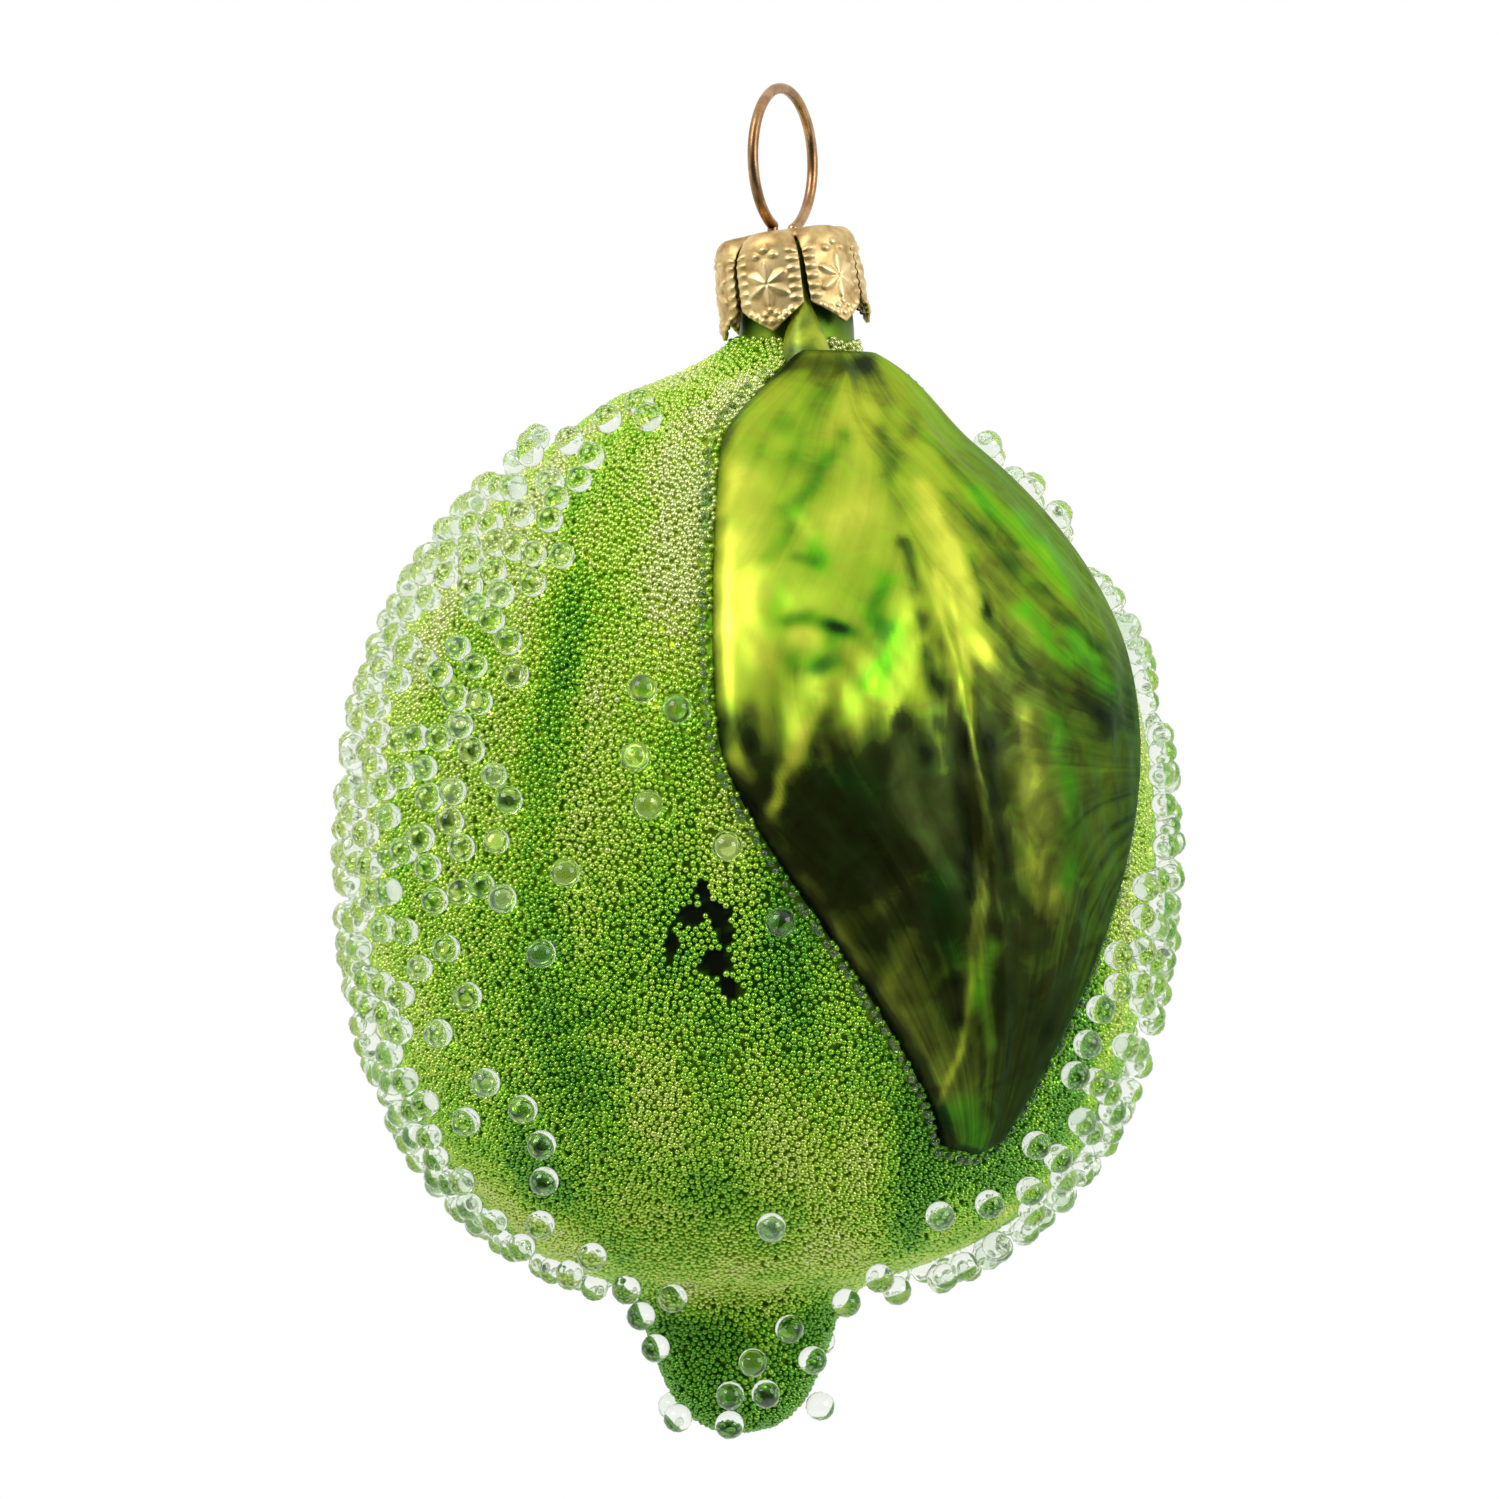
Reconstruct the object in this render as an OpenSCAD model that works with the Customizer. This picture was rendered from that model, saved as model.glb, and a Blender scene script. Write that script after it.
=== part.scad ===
// Blown-glass lime ornament that hangs from a wire loop, in millimetres.
// The origin is the middle of the loop, +Z points up and the face with the leaf looks towards -Y.
// Azimuths are counted from that face, positive towards +X.

/* [Hanger wire] */
// Thickness of the wire
wire_d = 0.75; // [0.5:0.05:1]
// Radius of the loop at the middle of the wire
loop_r = 5; // [4:0.1:7]
// Turn of the loop's plane away from the face
loop_turn = 65; // [0:1:90]
// Distance of each leg from the middle of the cap
leg_offset = 1.7; // [1.2:0.05:1.9]
// Length of the legs below the loop
leg_l = 13; // [8:0.5:16]
// Distance of each leg's end from the middle of the neck
leg_spread = 2; // [1.2:0.05:2.2]
// Height of the loop's lower ends above the cap
loop_gap = 0.4; // [0.4:0.05:1]
// How much thicker the wire is where it is bent
bend_swell = 0.03; // [0.02:0.01:0.06]

/* [Cap] */
// Radius of the cap below its rounded shoulder
cap_r = 4.9; // [4.7:0.05:5.6]
// Height of the cap from its top to the petal points
cap_h = 7; // [6:0.1:9]
// Thickness of the sheet metal
sheet_t = 0.25; // [0.15:0.05:0.4]
// Radius of the rounded shoulder
cap_round = 1.2; // [0.6:0.1:1.6]
// Number of petals
petals = 6; // [4:1:8]
// How much wider the radius is at the petal points
petal_flare = 0.25; // [0:0.05:0.6]
// Height of the point at the end of a petal
petal_point = 1.7; // [0.8:0.1:2.5]
// Width of the slit between two petals at its upper end
slit_top_w = 0.3; // [0.2:0.05:0.6]
// Width of the slit between two petals at its lower end
slit_low_w = 0.8; // [0.5:0.05:1.2]
// Azimuth of the first slit
slit_az = 11; // [-30:1:30]
// How far the cap sits askew on the neck, leaning towards -X
cap_skew = 8; // [0:0.5:9]
// Clearance around the wire in the cap's holes
wire_clear = 0.22; // [0.15:0.01:0.35]

/* [Glass] */
// Radius of the glass at its widest
body_r = 27.4; // [24:0.1:31]
// Height of the glass above its widest level
body_top_h = 35.5; // [31:0.1:40]
// Depth of the glass below its widest level
body_low_h = 30.6; // [28:0.1:34]
// Fullness of the lower half, as a share of its radius and depth
low_full = 0.665; // [0.62:0.005:0.7]
// Wall of the glass
glass_t = 0.9; // [0.6:0.05:1.2]
// Radius of the neck at its rim
neck_rim_r = 3.5; // [3.4:0.05:3.6]
// Radius of the neck where it leaves the body
neck_root_r = 4.4; // [4.2:0.05:4.5]
// Radius of the neck's bore
neck_bore_r = 2.9; // [2.8:0.05:3]
// Length of the neck above the body
neck_l = 7; // [6:0.1:9]
// Offset of the neck from the middle of the body
neck_offset = 2.8; // [0:0.1:3.5]
// Clearance between the cap and the rim that carries it
rim_gap = 0.1; // [0.05:0.01:0.2]
// Radius of the nipple at its root
nipple_r = 6.9; // [6.2:0.1:7.4]
// Depth of the nipple below its root
nipple_h = 9.4; // [8:0.1:11]
// Offset of the nipple from the middle of the body
nipple_offset = 1.2; // [0:0.1:2]
// Radius of the hollow round at the nipple's root
nipple_round = 2; // [1.6:0.1:2.4]
// Thickness of the mirror lining
lining_t = 0.15; // [0.1:0.05:0.3]
// Clearance between layers that lie on each other
layer_gap = 0.03; // [0.02:0.01:0.05]

/* [Leaf] */
// Azimuth that the leaf faces
leaf_az = 30; // [20:1:40]
// Width of the leaf left of that azimuth
leaf_left_w = 16.6; // [15:0.1:17.5]
// Width of the leaf right of that azimuth
leaf_right_w = 18.7; // [17:0.1:19.5]
// Depth of the leaf's upper edge below the top of the body
leaf_top_drop = 1.3; // [1:0.1:2]
// Depth of the leaf's tip below the widest level of the body
leaf_low_h = 20; // [16:0.5:22]
// Height of the leaf above the glass
leaf_rise = 1.2; // [1:0.05:1.8]
// How far the leaf's skin is raised along the body's axis
leaf_raise = 1.1; // [0.5:0.05:1.4]
// Height of the midrib and the veins above the leaf
rib_h = 0.35; // [0.2:0.05:0.5]
// Width of the midrib at the stem
rib_w = 1.6; // [1:0.1:2.4]
// Width of the veins at the midrib
vein_w = 0.9; // [0.5:0.1:1.4]
// Length of the longest vein
vein_l = 17; // [10:0.5:20]
// Number of veins on each side
veins = 5; // [3:1:7]
// Radius of the stem at its foot
stem_r = 1.5; // [1:0.1:1.8]
// Radius of the stem at its upper end
stem_tip_r = 0.4; // [0.3:0.05:0.5]
// Height of the stem's foot below the top of the body
stem_drop = 1.7; // [1:0.1:2.5]
// Height of the stem above the top of the body
stem_h = 2.4; // [1.5:0.1:2.6]
// Clearance around the leaf in the bead coat
leaf_clear = 0.3; // [0.2:0.05:0.6]
// Width of the bare ring around the neck
neck_bare = 0.9; // [0.8:0.1:1.5]

/* [Beads] */
// Thickness of the coat of fine beads
coat_t = 0.55; // [0.4:0.05:0.8]
// Radius of a large bead
bead_r = 1.03; // [0.8:0.01:1.05]
// How much smaller the smallest large bead is, as a share
bead_vary = 0.12; // [0:0.01:0.25]
// Clearance between two large beads
bead_gap = 0.04; // [0.02:0.01:0.3]
// Number of places that are tried for large beads all over the body
bead_tries = 4600; // [1000:100:5000]
// Share of the free places that are taken where the beads lie thickest
bead_share = 0.85; // [0.2:0.01:0.9]
// Azimuth of the middle of the face that the large beads leave clear
clear_az = 2; // [0:1:10]
// Half the width of that clear face above the widest level
clear_half = 33; // [30:1:60]
// How much more is left clear on each side below the widest level
clear_widen = 24; // [0:1:30]
// Width over which the large beads grow thicker beside it
clear_ramp = 10; // [5:1:40]
// Seed of the bead pattern
bead_seed = 27; // [1:1:99]

/* [Hidden] */
$fn = 64;

// Steps along each curve of an outline
curve_steps = 10;
// How far a cutting tool runs past what it cuts
past = 1;

wire_r = wire_d / 2;
loop_dir = [cos(loop_turn), sin(loop_turn), 0];
loop_gap_angle = asin(leg_offset / loop_r);
elbow_z = -loop_r * cos(loop_gap_angle);
wire_hole_r = wire_r + wire_clear;

// The cap leans about the middle of its petal points, which is on the neck's axis
cap_top_z = elbow_z - loop_gap;
cap_top_flat_r = cap_r - cap_round;
neck_x = cap_h * sin(cap_skew);
cap_foot = [neck_x, 0, cap_top_z - cap_h * cos(cap_skew)];
rim_z = cap_top_z - sheet_t / cos(cap_skew) - (neck_rim_r - neck_x) * tan(cap_skew) - rim_gap;

body_x = neck_x - neck_offset;
body_top_z = rim_z - neck_l;
body_z = body_top_z - body_top_h;
neck_root_depth = 4;
bore_depth = 12;
nipple_x = body_x - nipple_offset;
nipple_drop = 0.3;
nipple_z = body_z - body_low_h - nipple_drop;

// Points of a curve that its control points pull into shape
function pull(p, t) = len(p) == 1 ? p[0] : pull([for (i = [0:len(p) - 2]) p[i] * (1 - t) + p[i + 1] * t], t);
function curve(p, n = curve_steps) = [for (i = [0:n]) pull(p, i / n)];
function after_first(list) = [for (i = [1:len(list) - 1]) list[i]];

// Half outline of the glass body as radius and height, from its foot up, with the widest level at 0
body_low = curve([
    [0, -body_low_h], [low_full * body_r, -body_low_h], [body_r, -low_full * body_low_h], [body_r, 0]
]);
// The shoulder runs nearly straight to a small round crown, in shares of the radius and height
shoulder_shares = [[1, 0], [1, 0.563], [0.57, 0.766], [0.2, 0.962]];
crown_shares = [[0.2, 0.962], [0.131, 1], [0, 1]];
crown_steps = 4;
function of_body(shares) = [for (s = shares) [s[0] * body_r, s[1] * body_top_h]];
body_shoulder = curve(of_body(shoulder_shares));
body_crown = curve(of_body(crown_shares), crown_steps);
body_line = concat(body_low, after_first(body_shoulder), after_first(body_crown));

// An outline moved outwards by g, with its two ends kept on the axis
function line_way(p, i) = p[min(i + 1, len(p) - 1)] - p[max(i - 1, 0)];
function outward(p, i) = let (d = line_way(p, i)) [d[1], -d[0]] / norm(d);
function grown(p, g) = [
    for (i = [0:len(p) - 1])
        i == 0 ? p[0] - [0, g] : i == len(p) - 1 ? p[i] + [0, g] : p[i] + g * outward(p, i)
];

// Half outline of the nipple, from its blunt tip up its tapered side, with its root at 0
nipple_shares = [[0, 1], [0.64, 1], [0.76, 0.6], [1, 0]];
root_step = 15;
function nipple_bowl(g) = curve([for (s = nipple_shares) [s[0] * (nipple_r + g), -s[1] * (nipple_h + g)]]);
function nipple_root(g) = [
    for (a = [root_step:root_step:90])
        [nipple_r + nipple_round + g - nipple_round * cos(a), nipple_round * sin(a)]
];
function nipple_line(g) = concat(nipple_bowl(g), nipple_root(g), [[0, nipple_round]]);
nipple_reach = 2 * nipple_round;
function nipple_hollow(g) = concat(nipple_bowl(g), [[nipple_r + g, nipple_reach], [0, nipple_reach]]);

// Outline of the leaf seen square on, in shares of its widths and of its heights from the widest level
leaf_top_z = body_top_h - leaf_top_drop;
function of_leaf(shares) = [
    for (s = shares)
        [s[0] * (s[0] < 0 ? leaf_left_w : leaf_right_w), s[1] * (s[1] < 0 ? leaf_low_h : leaf_top_z)]
];
left_edge_shares = [[-0.169, 1], [-0.6, 0.86], [-0.93, 0.55], [-0.935, 0.249]];
left_low_shares = [[-0.935, 0.249], [-0.965, 0.02], [-0.15, -0.65], [0.032, -0.965]];
tip_shares = [[0.193, -1]];
right_low_shares = [[0.3, -0.955], [0.481, -0.55], [0.963, 0.029], [1, 0.38]];
right_edge_shares = [[1, 0.38], [1.016, 0.585], [0.508, 0.892], [0.128, 1]];
rib_shares = [[-0.018, 1.03], [-0.271, 0.585], [0.08, 0.058], [0.193, -1]];
leaf_tip = of_leaf(tip_shares)[0];
leaf_line = concat(
    curve(of_leaf(left_edge_shares)),
    after_first(curve(of_leaf(left_low_shares))),
    [leaf_tip],
    curve(of_leaf(right_low_shares)),
    after_first(curve(of_leaf(right_edge_shares)))
);
leaf_rib = of_leaf(rib_shares);
function ring_way(p, i) = p[(i + 1) % len(p)] - p[(i + len(p) - 1) % len(p)];
function ring_grown(p, g) = [
    for (i = [0:len(p) - 1]) let (d = ring_way(p, i)) p[i] + g * [d[1], -d[0]] / norm(d)
];

// Veins leave the midrib at one angle and are longest in the middle of the leaf
vein_angle = 42;
vein_first = 0.6;
vein_end_share = 1 / 3;
rib_end_share = 0.3;

// Stem from the top of the leaf up the neck, towards the first slit of the cap
stem_foot_az = 17;
stem_top_az = slit_az - 2;
stem_foot_lift = 0.6;
stem_top_lift = 0.15;
stem_foot_out = neck_root_r + stem_r + stem_foot_lift;
stem_top_out = neck_rim_r + stem_tip_r + stem_top_lift;
stem_foot = [neck_x, 0, body_top_z - stem_drop] + on_axis([stem_foot_out, 0], stem_foot_az);
stem_top = [neck_x, 0, body_top_z + stem_h] + on_axis([stem_top_out, 0], stem_top_az);

// Radius and outward direction of the glass at a height above the body's widest level
body_table = [for (p = body_line) [p[1], p[0]]];
function body_r_at(z) = lookup(z, body_table);
slope_step = 0.3;
function body_out(z) =
    let (d = [2 * slope_step, body_r_at(z - slope_step) - body_r_at(z + slope_step)]) d / norm(d);
function on_axis(q, az) = [q[0] * sin(az), -q[0] * cos(az), q[1]];
function body_seat(az, z, r) =
    on_axis([body_r_at(z), z] + (coat_t + r + layer_gap) * body_out(z), az);

// Single large beads on the face and at its edges, as azimuth and share of the height above or below the
// widest level
face_seats = [
    [-16, 0.299], [-11, 0.265], [-16.5, 0.177], [-14.5, 0.093], [-4, 0.017], [3, -0.137], [-26, -0.033],
    [-30, -0.203], [-37, -0.532], [-35.5, -0.611], [-38, -0.686], [2.5, -0.774], [-46, -0.784],
    [35, -0.757], [45.5, -0.742], [33, -0.9], [-39, -0.85], [-45, -0.932], [-31, -0.95], [39, -0.963],
    [52, -0.938], [49.5, -0.62], [-43.5, -0.301], [-43, -0.484], [-51, -0.379], [-50.5, -0.568],
    [-45, 0.8], [-38, 0.83], [-31, 0.8], [-52, 0.76], [88, 0.765], [90, 0.687], [86, 0.63], [84, 0.377],
    [90, 0.35], [58.8, -0.217], [60, -0.288], [55.8, -0.335], [54.3, -0.405], [53.2, -0.474], [59.5, -0.493],
    [60.5, -0.575], [58, -0.648], [55.5, -0.72]
];
function share_z(h) = h * (h > 0 ? body_top_h : body_low_h);
face_beads_taken = [for (s = face_seats) [s[0], body_seat(s[0], share_z(s[1]), bead_r), bead_r]];

// Places for large beads are tried upwards at random azimuths and taken where no bead is in the way
seat_low = share_z(-0.945);
seat_high = share_z(0.78);
thin_above = share_z(0.7);
thin_share = 0.3;
widen_from = share_z(-0.06);
widen_h = share_z(0.23);
// How many of the last beads can be near enough to be in the way
last_beads = 100;
az_draws = rands(-180, 180, bead_tries, bead_seed);
share_draws = rands(0, 1, bead_tries, bead_seed + 1);
size_draws = rands(0, 1, bead_tries, bead_seed + 2);
function try_z(i) = seat_low + (i + 0.5) / bead_tries * (seat_high - seat_low);
function try_r(i) = bead_r * (1 - bead_vary * size_draws[i]);
function turn_between(a, b) = let (d = abs(a - b) % 360) min(d, 360 - d);
function eased(t) = let (c = max(0, min(1, t))) c * c * (3 - 2 * c);
function clear_half_at(z) = clear_half + clear_widen * eased((widen_from - z) / widen_h);
function share_at(az, z) =
    bead_share * eased((turn_between(az, clear_az) - clear_half_at(z)) / clear_ramp)
    * (z > thin_above ? thin_share : 1);
// The right edge of the leaf as height and sideways place
leaf_edge = [for (p = leaf_line) if (p[0] > leaf_tip[0]) [p[1], p[0]]];
leaf_room = bead_r + 2 * leaf_clear;
function beside_leaf(az, z) =
    z < leaf_tip[1] - leaf_room
    || turn_between(az, leaf_az) > 90
    || az < 0
    || body_r_at(z) * sin(az - leaf_az) > lookup(z, leaf_edge) + leaf_room;
function in_way(q, r, bead) = norm(bead[1] - q) < r + bead[2] + bead_gap;
function free_of(q, r, beads, from) =
    len([for (i = [max(0, from):1:len(beads) - 1]) if (in_way(q, r, beads[i])) i]) == 0;
function with_try(kept, i) =
    let (az = az_draws[i], z = try_z(i), r = try_r(i))
    share_draws[i] > share_at(az, z) || !beside_leaf(az, z)
        ? kept
        : let (q = body_seat(az, z, r))
            free_of(q, r, face_beads_taken, 0) && free_of(q, r, kept, len(kept) - last_beads)
                ? concat(kept, [[az, q, r]])
                : kept;
flank_beads_taken = [
    for (i = 0, kept = []; i <= bead_tries; kept = i < bead_tries ? with_try(kept, i) : kept, i = i + 1)
        if (i == bead_tries) each kept
];
// Azimuth from which the beads count as those of the back
back_from = 132;

// Large beads on the nipple, as azimuth and share of its depth
nipple_seats = [
    [-6, 0.63], [16, 0.62], [7, 0.4], [43, 0.4], [25, 0.16], [-50, 0.32], [-56, 0.09], [-8, 0.82], [-54, 0.8],
    [75, 0.74], [130, 0.36], [172, 0.66], [-140, 0.51], [-120, 0.78], [160, 0.16], [-165, 0.24]
];
nipple_lift = 3 * layer_gap;
nipple_table = [for (p = nipple_bowl(0)) [p[1], p[0]]];
function nipple_r_at(z) = lookup(z, nipple_table);
function nipple_out(z) =
    let (d = [2 * slope_step, nipple_r_at(z - slope_step) - nipple_r_at(z + slope_step)]) d / norm(d);
function nipple_seat(az, z) =
    on_axis([nipple_r_at(z), z] + (coat_t + bead_r + nipple_lift) * nipple_out(z), az);

module rod(a, b, r1, r2) {
    d = b - a;
    translate(a)
        rotate([0, acos(d[2] / norm(d)), atan2(d[1], d[0])])
            cylinder(h = norm(d), r1 = r1, r2 = r2);
}

module turned(line) {
    rotate_extrude() polygon(line);
}

module at_body() {
    translate([body_x, 0, body_z]) children();
}

module at_nipple() {
    translate([nipple_x, 0, nipple_z]) children();
}

// Outside of the glass, moved outwards by g
module glass_outside(g) {
    at_body() turned(grown(body_line, g));
    at_nipple() turned(nipple_line(g));
    neck_outside(g);
}

module neck_outside(g) {
    translate([neck_x, 0, body_top_z - neck_root_depth])
        cylinder(h = neck_root_depth + neck_l, r1 = neck_root_r + g, r2 = neck_rim_r + g);
}

// Hollow of the glass below the neck, moved outwards by g
module glass_hollow(g) {
    at_body() turned(grown(body_line, g));
    at_nipple() turned(nipple_hollow(g));
}

module neck_bore(r) {
    translate([neck_x, 0, body_top_z - bore_depth])
        cylinder(h = bore_depth + neck_l + past, r = r);
}

module hanger_wire() {
    color("peru") {
        rotate([0, 0, loop_turn])
            rotate([90, 0, 0])
                rotate([0, 0, loop_gap_angle - 90])
                    rotate_extrude(angle = 360 - 2 * loop_gap_angle)
                        translate([loop_r, 0]) circle(r = wire_r);
        for (side = [-1, 1]) wire_leg(side);
    }
}

module wire_leg(side) {
    elbow = side * leg_offset * loop_dir + [0, 0, elbow_z];
    knee = [elbow[0], elbow[1], rim_z];
    end = [neck_x, 0, elbow_z - leg_l] + side * leg_spread * loop_dir;
    rod(elbow, knee, wire_r, wire_r);
    rod(knee, end, wire_r, wire_r);
    for (p = [elbow, knee, end]) translate(p) sphere(r = wire_r + bend_swell / 2);
}

// Half outline of the cap's outside, moved inwards by t, with its top at 0
round_step = 15;
// How far the hollow of the cap runs past its lower edge
edge_past = 0.01;
function cap_line(t) = concat(
    [[0, -cap_h], [0, -t]],
    [for (a = [90:-round_step:0]) [cap_top_flat_r, -cap_round] + (cap_round - t) * [cos(a), sin(a)]],
    [[cap_r + petal_flare - t, -cap_h]]
);

// Slit and the two slopes of the petal points beside it, as one flat outline
petal_half_w = cap_r * sin(180 / petals) + petal_flare;
slit_foot_z = petal_point - cap_h;
slit_line = [
    [-slit_top_w / 2, -cap_round], [slit_top_w / 2, -cap_round],
    [slit_low_w / 2, slit_foot_z], [petal_half_w, -cap_h - edge_past],
    [-petal_half_w, -cap_h - edge_past], [-slit_low_w / 2, slit_foot_z]
];

module cap_crown() {
    color("darkkhaki")
        difference() {
            translate(cap_foot)
                rotate([0, -cap_skew, 0])
                    translate([0, 0, cap_h])
                        petal_cap();
            for (side = [-1, 1])
                translate(side * leg_offset * loop_dir + [0, 0, rim_z - past])
                    cylinder(h = elbow_z - rim_z + past, r = wire_hole_r);
        }
}

module petal_cap() {
    difference() {
        turned(cap_line(0));
        translate([0, 0, -edge_past]) turned(cap_line(sheet_t));
        for (i = [0:petals - 1])
            rotate([0, 0, slit_az + i * 360 / petals])
                rotate([90, 0, 0])
                    linear_extrude(cap_r + petal_flare + past) polygon(slit_line);
    }
}

module glass_shell() {
    color("yellowgreen")
        difference() {
            glass_outside(0);
            glass_hollow(-glass_t);
            neck_bore(neck_bore_r);
        }
}

module mirror_lining() {
    color("silver")
        difference() {
            glass_hollow(-glass_t - layer_gap);
            glass_hollow(-glass_t - layer_gap - lining_t);
            neck_bore(neck_root_r);
        }
}

// Upright prism over a flat outline, pushed out through the glass towards the leaf
module leafward(line) {
    at_body()
        rotate([0, 0, leaf_az])
            rotate([90, 0, 0])
                linear_extrude(body_r + 2 * leaf_rise + past) polygon(line);
}

module leaf_skin(g) {
    translate([0, 0, leaf_raise]) at_body() turned(grown(body_line, g));
}

// Midrib and veins as narrow flat strips
function strip(a, b, w1, w2) =
    let (d = b - a, n = [-d[1], d[0]] / norm(d) / 2) [a + w1 * n, a - w1 * n, b - w2 * n, b + w2 * n];

function rib_half(t) = rib_w / 2 * (1 - (1 - rib_end_share) * t);
function rib_side(side) = [
    for (i = [0:curve_steps])
        let (t = i / curve_steps) pull(leaf_rib, t) + [side * rib_half(t), 0]
];
function backwards(list) = [for (i = [len(list) - 1:-1:0]) list[i]];

module leaf_ribs() {
    leafward(concat(rib_side(-1), backwards(rib_side(1))));
    for (i = [1:veins], side = [-1, 1]) {
        t = (i + vein_first) / (veins + 1 + vein_first);
        root = pull(leaf_rib, i / (veins + 1 + vein_first));
        end = root + vein_l * sin(180 * t) * [side * sin(vein_angle), -cos(vein_angle)];
        leafward(strip(root, end, vein_w, vein_w * vein_end_share));
    }
}

module leaf() {
    color("olivedrab")
        difference() {
            union() {
                intersection() {
                    leafward(leaf_line);
                    leaf_skin(leaf_rise);
                }
                intersection() {
                    leafward(ring_grown(leaf_line, -vein_w));
                    leaf_ribs();
                    leaf_skin(leaf_rise + rib_h);
                }
                rod(stem_foot, stem_top, stem_r, stem_tip_r);
            }
            glass_outside(layer_gap);
        }
}

module fine_bead_coat() {
    color("honeydew")
        difference() {
            union() {
                at_body() turned(grown(body_line, coat_t));
                at_nipple() turned(nipple_line(coat_t));
            }
            glass_outside(layer_gap);
            leafward(ring_grown(leaf_line, leaf_clear));
            neck_outside(neck_bare);
            rod(stem_foot, stem_top, stem_r + leaf_clear, stem_tip_r + leaf_clear);
        }
}

module flank_beads(from, to) {
    color("lightcyan")
        at_body()
            for (b = flank_beads_taken)
                if (b[0] >= from && b[0] < to) translate(b[1]) sphere(r = b[2]);
}

module left_flank_beads() {
    flank_beads(-back_from, 0);
}

module right_flank_beads() {
    flank_beads(0, back_from);
}

module back_beads() {
    flank_beads(-180, -back_from);
    flank_beads(back_from, 180);
}

module face_beads() {
    color("lightcyan")
        at_body()
            for (b = face_beads_taken) translate(b[1]) sphere(r = b[2]);
}

module nipple_beads() {
    color("lightcyan")
        at_nipple()
            for (s = nipple_seats) translate(nipple_seat(s[0], -s[1] * nipple_h)) sphere(r = bead_r);
}

hanger_wire();
cap_crown();
glass_shell();
mirror_lining();
leaf();
fine_bead_coat();
left_flank_beads();
right_flank_beads();
back_beads();
face_beads();
nipple_beads();
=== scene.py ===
import math

import bmesh
import bpy
import numpy as np
from mathutils import Matrix, Vector, kdtree, noise


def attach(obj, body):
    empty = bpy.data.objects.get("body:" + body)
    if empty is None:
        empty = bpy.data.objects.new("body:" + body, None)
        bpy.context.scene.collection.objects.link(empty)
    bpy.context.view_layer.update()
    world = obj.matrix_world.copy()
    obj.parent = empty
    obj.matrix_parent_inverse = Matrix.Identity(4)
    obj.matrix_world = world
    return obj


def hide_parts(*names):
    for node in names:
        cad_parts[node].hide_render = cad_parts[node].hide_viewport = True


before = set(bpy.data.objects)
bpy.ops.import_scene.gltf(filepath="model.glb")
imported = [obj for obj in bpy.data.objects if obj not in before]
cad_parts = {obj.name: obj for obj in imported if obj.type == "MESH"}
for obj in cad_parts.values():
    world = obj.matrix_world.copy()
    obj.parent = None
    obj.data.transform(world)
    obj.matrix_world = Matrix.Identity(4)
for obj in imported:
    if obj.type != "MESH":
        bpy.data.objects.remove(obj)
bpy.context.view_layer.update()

# Glass bulb: a thin wall blown to the shape of a lime, with a nipple at its foot and an open neck on top.
# It is silvered inside and carries clear green lacquer outside, brushed on in streaks that run downwards.
# Neck and nipple stand a little off the middle of the body. Sizes are in millimetres until a mesh is made.
MM = 0.001
body_x, body_z = -1.826, -48.310
body_r, body_top_h, body_low_h, belt_half = 27.4, 35.5, 30.6, 10
low_full = 0.665
shoulder_shares = ((1, 0), (1, 0.563), (0.57, 0.766), (0.2, 0.962))
nipple_x, nipple_z = -3.026, -79.210
nipple_r, nipple_h, nipple_foot_r, nipple_lean_run = 6.9, 9.4, 11.0, 10
nipple_shares = ((0, 1), (0.64, 1), (0.76, 0.6), (1, 0))
bowl_share, hollow_drop = 0.86, 0.9
neck_x, neck_rim_z, neck_foot_z = 0.974, -5.810, -11.9
neck_rim_r, neck_foot_r, neck_bore_r, neck_lip = 3.5, 4.0, 2.9, 0.3
neck_fillet_r = 9.5
glass_wall, inner_shoulder_r, inner_foot_r, bore_depth = 0.9, 8, nipple_r + 1, 2
inner_bowl_r, inner_bowl_h = 0.6, 0.7


def pull(points, t):
    """Points of the curve that its control points pull into shape."""
    t = np.asarray(t, float)[:, None]
    points = [np.asarray(p, float)[None, :] for p in points]
    while len(points) > 1:
        points = [a + (b - a) * t for a, b in zip(points, points[1:])]
    return points[0]


def eased(t):
    """Share from 0 to 1 that starts and ends gently."""
    t = np.clip(t, 0, 1)
    return t * t * (3 - 2 * t)


def body_outline(steps):
    """Radius and height of the body from its foot up to its shoulder."""
    t = np.linspace(0, 1, steps)
    low = pull([(0, -body_low_h), (low_full * body_r, -body_low_h),
                (body_r, -low_full * body_low_h), (body_r, 0)], t)
    top = pull([(r * body_r, h * body_top_h) for r, h in shoulder_shares], t)
    return np.vstack((low, top[1:]))


def between(body, foot_r, shoulder_r):
    """Outline without its two ends, which are cut off at a radius each."""
    above_foot = (body[:, 0] > foot_r) | (body[:, 1] > -belt_half)
    below_shoulder = (body[:, 0] > shoulder_r) | (body[:, 1] < belt_half)
    return body[above_foot & below_shoulder]


outline = body_outline(200)


def body_r_at(z):
    return np.interp(z, outline[:, 1], outline[:, 0])


def body_z_at(r):
    """Height of the shoulder at a distance from the axis."""
    upper = outline[outline[:, 1] >= 0][::-1]
    return np.interp(r, upper[:, 0], upper[:, 1])


def circle(x, y, r, z, turn):
    """Points around a level circle."""
    return np.column_stack((x + r * np.sin(turn), y - r * np.cos(turn), np.full(len(turn), z)))


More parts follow.
